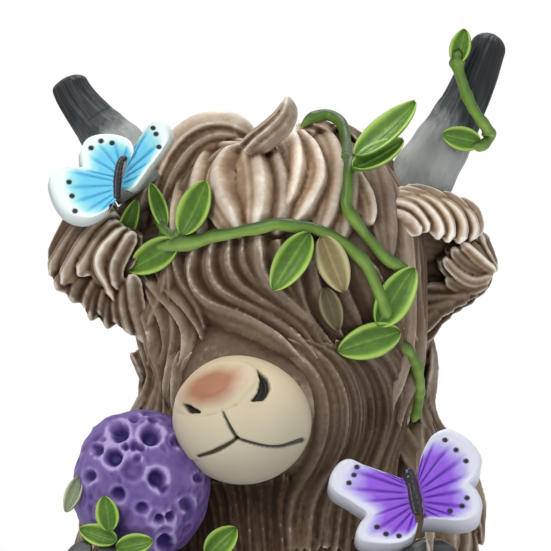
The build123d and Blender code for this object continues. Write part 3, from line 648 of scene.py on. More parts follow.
def around(tree, about, stops, count, lift=0.0):
    """A path on a surface and its normals, from the places that about_skull or about_torso takes."""
    reach = 90
    spots = []
    for stop in smooth_path(stops, count):
        centre, out = about(*stop)
        hit = tree.ray_cast(Vector(centre + out * reach), Vector(-out))
        spots.append((np.array(hit[0]) + np.array(hit[1]) * lift, np.array(hit[1])))
    return settled(spots, 4)


# Locks, with places along them and the shares of the width there
LOCK = ((0, 0.12, 0.45, 0.8, 1), (0.55, 0.9, 1.0, 0.72, 0.12))
PETAL = ((0, 0.15, 0.5, 0.8, 0.93, 1), (0.45, 0.8, 1.0, 0.85, 0.55, 0.2))
STRAND = ((0, 0.1, 0.5, 0.9, 1), (0.35, 0.9, 1.0, 0.8, 0.15))
CURL = ((0, 0.2, 0.6, 0.9, 1), (0.6, 1.0, 0.95, 0.7, 0.3))


def add_lock(shell, line, normal, width, thick, tint, shape, **looks):
    taper = np.interp(np.linspace(0, 1, len(line)), *shape)
    shell.take(*lock_form(line, normal, width * taper, thick * (0.35 + 0.65 * taper), **looks), tint)


def combed_lock(shell, line, normal, width, thick, tint, spread, depth=0.22, segments=22):
    """A lock that is a little thicker or thinner and paler or darker than the last."""
    form = width, thick * rng.uniform(0.8, 1.2), tint + rng.uniform(*spread)
    looks = {"skew": -0.3, "ridges": 4, "depth": depth, "phase": rng.uniform(0, 6), "segments": segments}
    add_lock(shell, line, normal, *form, STRAND, **looks)


def drawn_locks(shell, rows, lift, widening, tint_share, shape, **looks):
    """Locks on the skin from rows of pixels, width, thickness and tint."""
    for pixels, width, thick, tint in rows:
        line, normal = drawn(pixels, LOCK_STEPS, skin, lift)
        add_lock(shell, line, normal, width * widening, thick, tint * tint_share, shape, **looks)


def blended(guides, share):
    """The line at a share of the way from the first guide to the last."""
    place = share * (len(guides) - 1)
    i = min(int(place), len(guides) - 2)
    return guides[i] + (guides[i + 1] - guides[i]) * (place - i)


def drawn_fan(shell, guides, strands, width, thick, tint, lift, wander, trim=0.12, spread=0.12, **looks):
    """Strands laid side by side between guide lines, all given as pixels."""
    steps = 24
    lines = [smooth_path(guide, steps) for guide in guides]
    for number in range(strands):
        share = (number + rng.uniform(-0.2, 0.2)) / (strands - 1)
        line = blended(lines, min(max(share, 0), 1))
        first = int(rng.uniform(0, trim) * steps)
        last = steps - int(rng.uniform(0, trim) * steps)
        line = line[first:last].copy()
        sway = np.sin(np.linspace(0, rng.uniform(3, 7), len(line)) + rng.uniform(0, 6))
        line[:, 0] += sway * wander * rng.uniform(0.3, 1.0)
        stops = np.vstack([line[::3], line[-1:]])
        path = drawn(stops, FAN_STEPS, skin, lift + rng.uniform(-0.15, 0.25))
        form = width * rng.uniform(0.85, 1.2), thick * rng.uniform(0.8, 1.25)
        shade = tint + rng.uniform(-spread, spread)
        add_lock(shell, *path, *form, shade, STRAND, phase=rng.uniform(0, 6), **looks)


# Crown, brow and cheek hair. Rows of locks are pixels, width, thickness and tint.
CROWN_GUIDE_PIXELS = (
    [(253, 133), (236, 121), (214, 118), (192, 124), (172, 142), (156, 172), (146, 205)],
    [(252, 138), (232, 129), (208, 129), (186, 141), (168, 165), (156, 195), (150, 230)],
    [(250, 143), (228, 137), (206, 140), (188, 155), (174, 180), (166, 208), (164, 240)],
    [(248, 148), (226, 145), (205, 150), (192, 170), (184, 195), (180, 220), (182, 246)],
)
PETAL_PIXELS = (
    ([(245, 150), (222, 152), (206, 165), (199, 188), (198, 215), (204, 240)], 6.6, 2.6, 0.60),
    ([(243, 152), (228, 160), (219, 178), (222, 200), (234, 222), (242, 238)], 7.4, 3.2, 0.66),
    ([(281, 146), (286, 165), (288, 190), (282, 215), (276, 235)], 5.6, 2.2, 0.42),
    ([(264, 147), (273, 160), (280, 182), (281, 205), (277, 228)], 5.4, 2.7, 0.50),
    ([(248, 149), (254, 163), (259, 184), (259, 206), (255, 232)], 7.6, 3.6, 0.80),
    ([(283, 134), (291, 148), (294, 168), (290, 192), (284, 212)], 6.0, 3.4, 0.92),
    ([(300, 140), (312, 160), (315, 182), (305, 205), (292, 226)], 5.6, 3.2, 0.78),
    ([(296, 130), (314, 130), (328, 148), (333, 175), (328, 205), (318, 236)], 6.4, 2.4, 0.55),
    ([(310, 122), (330, 130), (342, 150), (346, 180), (343, 215), (336, 245)], 6.0, 2.0, 0.45),
    ([(348, 170), (358, 188), (365, 205), (368, 226)], 4.6, 2.2, 0.62),
    ([(335, 124), (356, 136), (370, 160), (380, 190), (384, 225), (386, 262)], 8.0, 1.8, 0.25),
    ([(350, 132), (378, 150), (395, 180), (402, 215), (404, 255), (405, 300)], 8.0, 1.8, 0.15),
)
TEMPLE_PIXELS = (
    ([(158, 186), (142, 204), (126, 226), (114, 256)], 8.0, 3.4, 0.12),
    ([(156, 160), (146, 186), (138, 214), (128, 246)], 7.0, 3.2, 0.30),
    ([(160, 148), (150, 172), (144, 200), (140, 234)], 6.0, 3.0, 0.42),
)
# The tuft flicks up from the whorl. Its rows and those of the ears have depths after the pixels.
TUFT_FACING = (-0.35, -1.0, 0.35)
TUFT_PIXELS = (
    (
        [(246, 152), (257, 141), (270, 130), (281, 119), (287, 108), (289, 97)],
        (-20, -20.5, -21, -20.5, -20, -19), 2.9, 2.8, 0.60,
    ),
    (
        [(254, 154), (266, 144), (277, 135), (287, 125), (292, 113), (291, 101)],
        (-19, -20, -20, -19.5, -19, -18.5), 2.9, 2.6, 0.42,
    ),
    (
        [(240, 146), (252, 136), (265, 126), (276, 116), (283, 106), (288, 97)],
        (-20, -20.5, -21, -20.5, -20, -19), 2.3, 2.4, 0.38,
    ),
)
SWEEP_PIXELS = (
    ([(200, 240), (192, 268), (199, 294), (222, 315), (254, 330), (284, 348), (304, 366)], 3.8, 2.3, 0.52),
    ([(214, 240), (210, 266), (219, 290), (243, 309), (272, 326), (300, 346), (318, 364)], 3.6, 2.0, 0.40),
    ([(230, 238), (228, 264), (240, 288), (264, 306), (292, 328), (316, 350)], 3.4, 1.9, 0.40),
    ([(242, 238), (242, 262), (254, 284), (276, 302), (300, 326), (326, 352)], 3.2, 1.7, 0.30),
    ([(257, 236), (256, 258), (262, 280), (276, 296), (296, 316), (316, 336)], 4.8, 2.5, 0.60),
    ([(276, 240), (277, 266), (284, 290), (296, 312), (314, 332), (332, 348)], 3.6, 1.8, 0.30),
    ([(292, 244), (291, 270), (296, 296), (306, 320), (322, 342)], 3.4, 1.8, 0.42),
    ([(308, 244), (308, 270), (314, 296), (326, 318), (342, 338)], 3.8, 1.9, 0.28),
    ([(326, 242), (329, 268), (338, 294), (350, 316), (362, 336)], 4.2, 1.9, 0.25),
    ([(345, 250), (352, 275), (362, 298), (372, 322), (380, 345)], 4.4, 1.8, 0.20),
    ([(362, 262), (372, 285), (382, 310), (392, 335), (398, 360)], 4.4, 1.8, 0.15),
    ([(182, 246), (178, 262), (184, 284), (198, 306), (206, 330)], 3.6, 1.8, 0.30),
)
CHEEK_PIXELS = (
    ([(146, 262), (158, 284), (178, 303), (190, 324), (191, 345), (182, 368)], 3.6, 2.2, 0.45),
    ([(160, 262), (170, 282), (188, 302), (200, 322), (203, 340)], 3.0, 1.8, 0.35),
    ([(150, 282), (162, 305), (172, 330), (172, 352), (164, 374), (166, 398)], 3.4, 2.0, 0.38),
    ([(142, 288), (150, 312), (158, 338), (156, 362), (150, 384)], 3.4, 2.0, 0.32),
    ([(140, 238), (130, 262), (133, 288), (142, 312), (147, 338), (146, 362)], 3.8, 2.2, 0.42),
    ([(126, 240), (121, 266), (122, 294), (130, 318), (134, 336)], 4.0, 2.2, 0.40),
    ([(112, 236), (108, 262), (112, 288), (118, 308), (120, 326)], 3.4, 2.0, 0.35),
    ([(166, 360), (162, 380), (160, 400), (158, 424)], 3.0, 1.6, 0.36),
    ([(176, 356), (172, 376), (170, 398), (170, 424)], 3.0, 1.6, 0.34),
    ([(156, 368), (153, 388), (152, 408), (150, 428)], 3.0, 1.6, 0.32),
    ([(184, 352), (180, 372), (178, 394), (178, 420)], 2.6, 1.4, 0.30),
)


def head_hair():
    hair = Shell()
    head_forms(hair)
    carved = {"ridges": 4, "depth": 0.14, "segments": 28}
    fine = {"ridges": 3, "depth": 0.12, "segments": 26}
    fan = {"wander": 0.8, "trim": 0.05, "skew": -0.25, "ridges": 4, "depth": 0.22}
    drawn_fan(hair, CROWN_GUIDE_PIXELS, 9, 5.4, 1.9, 0.62, 0.5, **fan)
    drawn_locks(hair, PETAL_PIXELS, 0.6, 1.15, 1.0, PETAL, skew=-0.35, phase=0.6, **carved)
    drawn_locks(hair, TEMPLE_PIXELS, 0.6, 1.0, 1.0, PETAL, **carved)
    for pixels, depths, *form in TUFT_PIXELS:
        line = hung(pixels, depths, TUFT_STEPS)
        facing = np.tile(unit(TUFT_FACING), (len(line), 1))
        add_lock(hair, line, facing, *form, CURL, skew=0.4, ridges=2, depth=0.12, sink=0.9, segments=26)
    drawn_locks(hair, SWEEP_PIXELS, 0.4, 1.4, 0.38, LOCK, skew=-0.6, phase=1.0, **fine)
    drawn_locks(hair, CHEEK_PIXELS, 0.3, 1.35, 0.7, LOCK, skew=0.55, **fine)
    for turn in np.arange(62, 300, 8.0):
        bend = rng.uniform(-6, 6)
        stops = [(turn * 0.9 + 12, 76), (turn + bend, 45), (turn - bend, 10), (turn + bend, -20)]
        stops.append((turn, rng.uniform(-54, -38)))
        path = around(skin, about_skull, stops, HEAD_STEPS, 0.2)
        combed_lock(hair, *path, 8.4, 2.3, 0.35, (-0.1, 0.12))
    mesh = grown(hair, "hair", *MAIN_HAIR)
    tree = tree_of(mesh)
    finish(mesh, "head_hair", coat, ("head", "forelock", "crown_tuft"))
    return tree


hair_tree = head_hair()

# Mane round the muzzle and over the chest
RING_GUIDE_PIXELS = (
    [(262, 342), (292, 356), (312, 380), (319, 410), (314, 444), (298, 474), (284, 505), (284, 560)],
    [(284, 340), (318, 358), (336, 384), (342, 414), (336, 448), (320, 480), (308, 512), (306, 560)],
    [(316, 340), (346, 360), (362, 388), (366, 420), (356, 454), (342, 486), (334, 516), (332, 560)],
    [(350, 340), (374, 362), (386, 392), (386, 424), (374, 458), (364, 490), (360, 520), (360, 560)],
    [(386, 335), (402, 362), (408, 392), (404, 424), (394, 456), (392, 488), (392, 520), (392, 560)],
)
CHEST_GUIDE_PIXELS = (
    [(170, 470), (176, 490), (182, 520), (186, 565)],
    [(214, 478), (222, 500), (226, 530), (228, 565)],
    [(250, 478), (252, 505), (254, 535), (256, 565)],
    [(286, 470), (280, 505), (282, 535), (284, 565)],
)
LEFT_GUIDE_PIXELS = (
    [(128, 345), (140, 372), (142, 400), (136, 440)],
    [(176, 348), (170, 376), (168, 405), (168, 440)],
    [(200, 345), (186, 366), (178, 396), (178, 430)],
)
RIGHT_GUIDE_PIXELS = (
    [(392, 330), (405, 360), (414, 395), (415, 430), (420, 465), (428, 505), (430, 560)],
    [(415, 318), (426, 350), (428, 385), (425, 418), (442, 450), (456, 490), (460, 550)],
    [(428, 325), (433, 350), (432, 385), (428, 415), (456, 448), (478, 490), (486, 545)],
)


def mane_hair():
    mane = Shell()
    mane.take_balls(
        ((3.0, 1.0, 90.0), (24.5, 20.0, 21.0), 0.1), ((-2.0, -16.0, 91.0), (19.2, 19.2, 18.5), 0.1)
    )
    drawn_fan(mane, RING_GUIDE_PIXELS, 34, 2.6, 1.15, 0.16, 0.2, 0.8, trim=0.1, spread=0.08, skew=-0.55)
    # Painted shade: the chest strands take the lowest tint, for the shadow under the muzzle.
    drawn_fan(mane, CHEST_GUIDE_PIXELS, 30, 2.5, 1.0, 0.02, 0.15, 1.6, trim=0.08, spread=0.05, skew=-0.5)
    drawn_fan(mane, LEFT_GUIDE_PIXELS, 14, 2.6, 1.1, 0.16, -0.4, 1.5, spread=0.08, skew=0.4)
    drawn_fan(mane, RIGHT_GUIDE_PIXELS, 13, 3.2, 1.3, 0.22, 0.2, 1.5, spread=0.1, skew=-0.4)
    for turn in np.arange(70, 296, 7.0):
        bend = rng.uniform(-5, 5)
        top = 86 if turn > 225 else 94
        stops = [(turn, top), (turn + bend, 78), (turn - bend, 67), (turn + bend, 54 + rng.uniform(-9, 9))]
        path = around(trunk, about_torso, stops, MANE_STEPS, 0.2)
        combed_lock(mane, *path, 7.6, 2.3, 0.22, (-0.08, 0.1))
    mesh = grown(mane, "mane", *MAIN_HAIR)
    tree = tree_of(mesh)
    finish(mesh, "mane_hair", coat)
    return tree


mane_tree = mane_hair()

# Coat of the torso, in tiers with a top and a bottom height
COAT_TIERS = ((84, 52), (60, 28), (36, 3.5))


def torso_coat():
    body = Shell()
    body_forms(body)
    for tier, (top, bottom) in enumerate(COAT_TIERS):
        for turn in np.arange(tier * 3, 360 + tier * 3, 7.5):
            if tier == 0 and not 62 < turn < 298:
                continue  # the mane covers the chest
            bend = rng.uniform(-4, 4)
            end = bottom + (rng.uniform(-8, 8) if tier < 2 else 0)
            stops = [(turn, top), (turn + bend, (top * 2 + bottom) / 3)]
            stops += [(turn - bend, (top + bottom * 2) / 3), (turn + bend, end)]
            path = around(trunk, about_torso, stops, COAT_STEPS)
            combed_lock(body, *path, 8.6, 2.1, 0.2, (-0.1, 0.1), segments=20)
    finish(grown(body, "body", *TORSO_HAIR), "torso_coat", coat, ("torso",))


torso_coat()


# Forelegs, hind legs and tail
def furry_limb(name, line, radii, count, spans, nodes, tint, width, extra=(), grain=LIMB_HAIR):
    """A limb whose hair lies along it in overlapping locks."""
    shell = Shell()
    shell.take(*limb(line, radii), tint)
    shell.take_balls(*extra)
    tree = smoothed(shell, *LIMB_SKIN)
    steps, reach, fewest = 39, 40, 5
    axis = smooth_path(line, steps + 1)
    for first, last in spans:
        part = axis[int(first * steps) : int(last * steps) + 1]
        side, up = frames(part, (0.0, 0.0, 1.0))
        for number in range(count):
            turn = 2 * math.pi * (number + rng.uniform(-0.2, 0.2)) / count
            sway = turn + 0.18 * np.sin(np.linspace(0, 4, len(part)) + rng.uniform(0, 6))
            out = side * np.cos(sway)[:, None] + up * np.sin(sway)[:, None]
            hits = [tree.ray_cast(Vector(c + o * reach), Vector(-o))[0] for c, o in zip(part, out)]
            spots = [hit for hit in hits if hit is not None]
            if len(spots) < fewest:
                continue
            path = smooth_path(spots[::3] + spots[-1:], LIMB_STEPS)
            normal = unit([tree.find_nearest(Vector(q))[1] for q in path])
            combed_lock(shell, path, normal, width, 1.5, tint, (-0.08, 0.1), depth=0.16)
    finish(grown(shell, name, *grain), name, coat, nodes)


def off_torso(turn, height, out):
    """The point at a distance from the torso's axis."""
    centre, away = about_torso(turn, height)
    return centre + away * out


LEG_HALVES = ((0.0, 0.5), (0.5, 1.0))
LEG_TINT = 0.18
for side, name in ((-1, "right"), (1, "left")):
    line = foreleg_line(side)
    nodes = (f"foreleg_{name}",)
    furry_limb(f"foreleg_{name}_coat", line, (9.0, 10.2, 7.6), 14, LEG_HALVES, nodes, LEG_TINT, 7.2)
    line = [(side * 26.0, 6.0, 14.5), (side * 26.5, -14.0, 13.0), (side * 30.0, -48.0, 10.9)]
    nodes = (f"hind_leg_{name}",)
    haunch = [((side * 26.0, -4.0, 16.2), (15.0, 22.6, 19.6), LEG_TINT)]
    furry_limb(f"hind_leg_{name}_coat", line, (9.0, 12.0, 9.6), 18, LEG_HALVES, nodes, LEG_TINT, 9.5, haunch)

TAIL_STOPS = ((178, 29, 35.5), (170, 21, 36.0), (159, 14, 36.4), (146, 9, 36.6), (134, 7.4, 36.4))
TAIL_SPANS = ((0.0, 0.55), (0.4, 1.0))
TAIL_TINT = 0.3
line = [off_torso(*stop) for stop in TAIL_STOPS]
nodes = ("tail", "tail_tuft")
tuft = (off_torso(138, 8.4, 36.0), (5.2, 4.6, 4.3), TAIL_TINT)
furry_limb("tail_hair", line, (3.1, 2.8, 3.4), 9, TAIL_SPANS, nodes, TAIL_TINT, 2.4, [tuft], TAIL_HAIR)


# Horns. Rows are pixels with depths, and radii from root to tip.
HORN_PIXELS = {
    "left": (
        ((404, 206, -2), (420, 180, -1), (447, 136, 0), (467, 98, 1), (481, 64, 1.5), (494, 34, 1.5)),
        (6.6, 6.5, 5.6, 4.7, 4.2, 3.2),
    ),
    "right": (
        ((146, 186, 1), (136, 172, 1), (118, 148, 2), (94, 121, 3.5), (76, 98, 5), (66, 78, 6)),
        (6.6, 6.3, 5.5, 4.6, 4.0, 3.6),
    ),
}
HORN_SHADES = (
    (0.0, 104, 107, 104), (0.22, 156, 160, 156), (0.4, 140, 144, 144), (0.53, 60, 65, 68), (0.72, 28, 32, 36),
)


def horn_paint():
    p = Paint("horn_worn", Roughness=0.45, Specular_IOR_Level=0.2)
    place = p.uneven(p.value("along"), p.noise(160, 4, 0.6, stretch=(3.0, 3.0, 0.45)), 0.30)
    # Pale grey worn onto the crests of the carving.
    lightness = p.faint(p.span(p.value("ridge"), 0.62, 0.95), 0.45)
    p.bump(p.noise(900, 4, stretch=(1.0, 1.0, 0.3)), 0.2, 0.0003)
    return p.paint(p.mix(lightness, p.ramp(place, HORN_SHADES), colour(214, 216, 214)))


def horn(side, stops, radii):
    """A horn with a rounded tip, carved with lines along it and rings near its root."""
    rings, segments = 150, 96
    line = seen_path(stops, rings)
    share = np.linspace(0, 1, rings)
    tip = kept_in((share - 0.93) / 0.07)
    thick = resampled(radii, rings) * np.sqrt(np.maximum(1 - tip**2, 0.002))
    grid, ring = np.meshgrid(even_turns(segments), share)
    carve = 0.16 * np.sin(9 * grid + 2.2 * np.sin(5 * ring) + 1.0) * (1 - 0.5 * ring)
    carve += 0.10 * np.sin(17 * grid - 4 * ring)
    carve += 0.10 * np.sin(38 * ring + 1.5 * np.sin(2 * grid)) * (ring < 0.6)
    reach = thick[:, None] + carve * np.minimum(1, thick[:, None] / 3)
    points = (line[:, None] + ring_outward(line, segments) * reach[:, :, None]).reshape(-1, 3)
    mesh = quad_mesh("horn", points, ring_quads(rings, segments))
    give(mesh, "along", np.repeat(share, segments))
    give(mesh, "ridge", ridge_values(mesh, 3, 12))
    finish(mesh, f"horn_{side}_carved", horn_grey, (f"horn_{side}",))


horn_grey = horn_paint()
for side, (stops, radii) in HORN_PIXELS.items():
    horn(side, stops, radii)

# Ears. Rows of locks are pixels, the depths of both ends, width, thickness and tint.
RIGHT_EAR_PIXELS = (
    ([(116, 206), (96, 218), (74, 242), (50, 276)], (-1, -1), 5.6, 3.0, 0.30),
    ([(118, 214), (100, 230), (82, 252), (62, 284)], (-5, -4), 5.0, 2.6, 0.40),
    ([(120, 222), (106, 238), (92, 258), (78, 276)], (-7, -6), 4.6, 2.6, 0.42),
    ([(126, 228), (112, 242), (102, 256), (102, 270), (110, 284), (114, 300)], (-9, -8), 3.4, 2.8, 0.56),
    ([(134, 232), (124, 250), (116, 268), (118, 290)], (-11, -9), 3.6, 2.6, 0.26),
    ([(86, 268), (70, 276), (56, 290)], (-4, -3), 4.6, 2.0, 0.16),
    ([(92, 274), (80, 286), (73, 303)], (-5, -4), 4.2, 2.2, 0.10),
    ([(98, 280), (90, 296), (86, 309)], (-6, -5), 3.6, 2.0, 0.14),
    ([(103, 282), (96, 300), (91, 321)], (-6, -5), 2.8, 2.2, 0.10),
    ([(108, 288), (104, 304), (102, 316)], (-7, -6), 3.4, 2.0, 0.16),
    ([(114, 290), (110, 308), (108, 329)], (-7, -6), 3.0, 2.4, 0.10),
    ([(120, 286), (118, 306), (119, 325)], (-8, -7), 3.6, 2.2, 0.20),
    ([(126, 280), (126, 306), (132, 335)], (-9, -8), 3.8, 2.2, 0.26),
    ([(132, 274), (136, 306), (146, 344)], (-10, -8), 4.0, 2.2, 0.30),
    ([(114, 222), (94, 232), (74, 252), (56, 276)], (2.5, 3), 5.5, 2.2, 0.3),
    ([(118, 242), (100, 260), (86, 282), (82, 302)], (3, 2), 6.5, 2.2, 0.25),
)
LEFT_EAR_PIXELS = (
    ([(398, 203), (428, 203), (452, 210), (469, 220), (479, 234)], (-2, -3), 3.6, 2.6, 0.75),
    ([(452, 207), (465, 215), (472, 227), (470, 241)], (-7, -7), 3.6, 2.4, 0.8),
    ([(434, 202), (450, 210), (460, 225), (459, 244)], (-9, -9), 3.8, 2.6, 0.95),
    ([(400, 200), (420, 201), (436, 209), (447, 224), (448, 243)], (-10, -11), 4.0, 2.8, 1.0),
    ([(392, 203), (412, 204), (427, 213), (437, 226), (438, 240)], (-12, -12), 4.0, 2.8, 0.95),
    ([(386, 207), (403, 208), (416, 216), (428, 232)], (-14, -13), 4.0, 2.8, 1.0),
    ([(384, 216), (397, 216), (410, 223), (420, 235)], (-15, -14), 4.0, 2.8, 0.85),
    ([(386, 186), (378, 199), (378, 215), (388, 229), (402, 235)], (-12, -15), 3.8, 2.8, 0.8),
    ([(372, 196), (368, 214), (376, 234), (392, 246)], (-16, -15), 4.6, 2.6, 0.36),
    ([(480, 234), (482, 246), (488, 258), (497, 272)], (-3, -2), 2.4, 2.4, 0.54),
    ([(462, 243), (473, 253), (484, 263), (496, 272)], (-8, -3), 2.4, 2.6, 0.70),
    ([(452, 248), (463, 260), (476, 268), (492, 273)], (-8, -3), 2.8, 2.0, 0.30),
    ([(444, 258), (458, 273), (474, 281), (493, 276)], (-7, -3), 2.6, 2.4, 0.56),
    ([(446, 278), (460, 286), (475, 288), (489, 281)], (-5, -3), 2.8, 2.2, 0.34),
    ([(424, 290), (444, 291), (462, 294), (480, 288)], (-5, -3), 3.8, 2.0, 0.16),
    ([(408, 300), (428, 301), (450, 301), (470, 296)], (-7, -4), 3.8, 2.0, 0.16),
    ([(404, 313), (420, 314), (438, 309), (456, 302)], (-8, -5), 4.2, 2.0, 0.16),
    ([(402, 328), (416, 327), (428, 319), (440, 309)], (-9, -6), 4.4, 2.0, 0.16),
    ([(400, 250), (396, 272), (400, 294), (404, 316)], (-12, -10), 5.0, 2.6, 0.14),
    ([(396, 216), (430, 217), (458, 230), (476, 250)], (3, 3.5), 5.5, 2.4, 0.3),
    ([(400, 230), (430, 244), (458, 262), (480, 278)], (6, 3), 7.0, 2.6, 0.3),
    ([(396, 252), (420, 272), (446, 290), (466, 290)], (6, 3), 6.0, 2.6, 0.25),
)


def tufted_ear(side, shell, locks, slope):
    """An ear of curved locks, each a broad dark one with a slim one on its crest."""
    facing = np.tile(unit((slope, -1.0, 0.25)), (LOCK_STEPS, 1))
    broad = {"sink": 1.6, "ridges": 3, "depth": 0.08, "segments": 30}
    slim = {"sink": 0.9, "ridges": 2, "depth": 0.08, "segments": 26, "skew": -0.5 * np.sign(slope)}
    for pixels, depths, width, thick, tint in locks:
        line = hung(pixels, depths, LOCK_STEPS)
        behind = line - TO_VIEWER * 1.5
        add_lock(shell, behind, facing, width * 1.9, thick * 0.9, 0.85 * tint**1.6, LOCK, **broad)
        add_lock(shell, line, facing, width * 1.05, thick * 0.48, tint, STRAND, **slim)
    name = f"ear_{side}_hair"
    finish(grown(shell, name, *EAR_HAIR), name, coat, (f"ear_{side}",))


ear = Shell()
ear.take_balls(
    ((-33.0, 1.5, 114.6), (8.6, 4.4, 7.4), 0.1),
    ((-37.5, 1.0, 114.0), (6.0, 4.2, 5.6), 0.1),
    ((-30.0, -2.0, 110.0), (6.0, 4.4, 6.0), 0.05),
)
ear.take(*limb([(-20.0, 0.0, 121.0), (-28.0, 0.5, 118.5), (-37.0, 1.0, 114.0)], (6.0, 5.6, 4.5)), 0.2)
tufted_ear("right", ear, RIGHT_EAR_PIXELS, -0.25)
ear = Shell()
ear.take_balls(((31.0, 1.5, 116.5), (11.5, 4.2, 9.5), 0.14), ((38.5, 1.5, 114.0), (6.0, 3.6, 5.0), 0.1))
ear.take(*limb([(22.0, 0.0, 122.5), (30.0, 1.0, 121.0), (37.0, 1.0, 119.5)], (6.0, 6.0, 4.0)), 0.25)
tufted_ear("left", ear, LEFT_EAR_PIXELS, 0.2)

# Muzzle with its nose, nostrils and mouth
MUZZLE = np.array((-6.5, -31.0, 88.0))
MUZZLE_SIZE = np.array((13.7, 12.4, 12.8))
NOSE_PIXELS = (214, 388)
NOSE_ROLL = math.radians(-21)
# Rows are centre, reach across and down, and height
SWELLING_PIXELS = (((248, 386), (17, 20), 1.1), ((186, 394), (16, 13), 0.3))
# Rows are a line, and places along it with the widths there
NOSTRIL_PIXELS = (
    ([(258, 372), (264, 380), (265, 388), (261, 396), (252, 401)], (0, 0.35, 0.7, 1), (1.5, 5.2, 5.2, 1.0)),
    ([(186, 405), (192, 410), (200, 412)], (0, 0.4, 1), (1.0, 3.6, 1.2)),
)
MOUTH_PIXELS = (
    ([(223, 412), (229, 425), (237, 439)], (0, 0.5, 1), (1.0, 1.6, 2.0)),
    ([(237, 439), (226, 446), (212, 453), (198, 457)], (0, 0.5, 1), (1.8, 2.6, 1.8)),
    (
        [(237, 439), (254, 444), (268, 447), (282, 447), (293, 444), (303, 441)],
        (0, 0.5, 1), (1.6, 1.4, 2.8),
    ),
)
LIP_PIXELS = ((180, 462), (198, 457), (237, 439), (282, 447), (312, 440))


def muzzle_paint():
    p = Paint("muzzle_cream", Roughness=0.48, Specular_IOR_Level=0.3)
    # Painted light: the cream turns paler towards the top of the muzzle, where the light falls, and greyer
    # below.
    height = p.add("SeparateXYZ", {0: p.place}, "Z")
    cream = p.mix(p.span(height, 0.080, 0.100), colour(172, 167, 148), colour(210, 194, 164))
    mottled = p.faint(p.math("SUBTRACT", p.noise(140, 3), 0.4), 0.5)
    cream = p.mix(mottled, cream, colour(206, 196, 170))
    rose = p.uneven(p.value("nose"), p.noise(230, 3), 0.3)
    shade = p.mix(p.span(rose, 0.08, 0.75), cream, colour(152, 104, 76))
    # Painted shade: the creases, such as the nostrils and the mouth, are mixed towards a darker brown.
    muzzle_crease_shade = p.faint(p.span(p.value("ridge"), 0.42, 0.12), 0.5)
    shade = p.mix(muzzle_crease_shade, shade, colour(120, 104, 80))
    p.bump(p.noise(700, 3), 0.1, 0.0003)
    return p.paint(p.mix(p.value("dark"), shade, colour(30, 26, 24)))


def distance_to(line, points):
    """The distances from 2-D points to a line, and the places along it."""
    best, place = np.full(len(points), np.inf), np.zeros(len(points))
    steps = len(line) - 1
    for i, (a, b) in enumerate(zip(line, line[1:])):
        t = kept_in(((points - a) @ (b - a)) / max((b - a) @ (b - a), TINY))
        distance = np.linalg.norm(points - (a + t[:, None] * (b - a)), axis=1)
        closer = distance < best
        best[closer] = distance[closer]
        place[closer] = (i + t[closer]) / steps
    return best, place


def muzzle():
    mesh = sphere_mesh("muzzle", 6, lambda spot: spot.y < -0.3 and spot.z < 0.9)
    direction = unit(coordinates(mesh))
    dome = MUZZLE + direction * MUZZLE_SIZE
    pixels = to_pixels(dome)
    facing = kept_in(-direction[:, 1] * 3)
    x, y = (pixels - NOSE_PIXELS).T
    nose_x = x * math.cos(NOSE_ROLL) + y * math.sin(NOSE_ROLL)
    nose_y = -x * math.sin(NOSE_ROLL) + y * math.cos(NOSE_ROLL)
    pad = np.hypot(nose_x / 34, nose_y / 18)
    height = 1.3 * kept_in(1.35 - pad) ** 0.7 * facing
    for centre, reach, rise in SWELLING_PIXELS:
        away = np.linalg.norm((pixels - centre) / reach, axis=1)
        height += rise * kept_in(1.2 - away) * facing
    inside = 0
    for line, places, widths in NOSTRIL_PIXELS:
        distance, place = distance_to(np.array(line, float), pixels)
        inside = np.maximum(inside, kept_in(1.35 - distance / np.interp(place, places, widths)) * facing)
    height -= 1.5 * kept_in(inside * 1.6)
    dark = kept_in((inside - 0.12) * 5)
    for line, places, widths in MOUTH_PIXELS:
        distance, place = distance_to(smooth_path(line, 24), pixels)
        cut = kept_in(1.6 - distance / np.interp(place, places, widths)) * facing
        height -= 0.55 * cut
        dark = np.maximum(dark, kept_in((cut - 0.35) * 2.2) * 0.9)
    below = pixels[:, 1] - np.interp(pixels[:, 0], *zip(*LIP_PIXELS))
    height -= 0.35 * kept_in(below / 3) * kept_in(1 - below / 40) * facing
    set_points(mesh, dome + direction * height[:, None])
    give(mesh, "ridge", ridge_values(mesh, 3, 14))
    give(mesh, "nose", kept_in(1.25 - pad) * facing)
    give(mesh, "dark", dark)
    finish(mesh, "muzzle_dome", muzzle_paint(), ("muzzle", "nose_pad"))


muzzle()

# Vines. A knot is a place along the stem and how much it swells there.
BROW_PIXELS = (
    (136, 250), (158, 246), (184, 244), (220, 236), (256, 226), (292, 223), (324, 231), (350, 250),
    (370, 274), (381, 300), (384, 322),
)
FORK_PIXELS = ((182, 243), (172, 234), (164, 222), (157, 206))
TWIG_PIXELS = ((170, 245), (176, 241), (182, 234), (187, 227))
CROWN_PIXELS = ((301, 127), (312, 118), (328, 115), (341, 123), (346, 140), (346, 158))
TEMPLE_VINE_PIXELS = ((346, 162), (343, 185), (345, 205), (353, 223), (368, 242), (386, 258), (408, 274))
NECK_PIXELS = ((398, 336), (410, 356), (417, 378), (416, 400), (411, 422))
HORN_VINE_PIXELS = (
    (459, 48, -3.6), (457, 62, -4.4), (461, 78, -5.2), (468, 98, -5.9), (477, 115, -6.2), (486, 127, -5.0),
    (489, 137, -4.4), (483, 145, -6.0), (473, 147, -7.0),
)


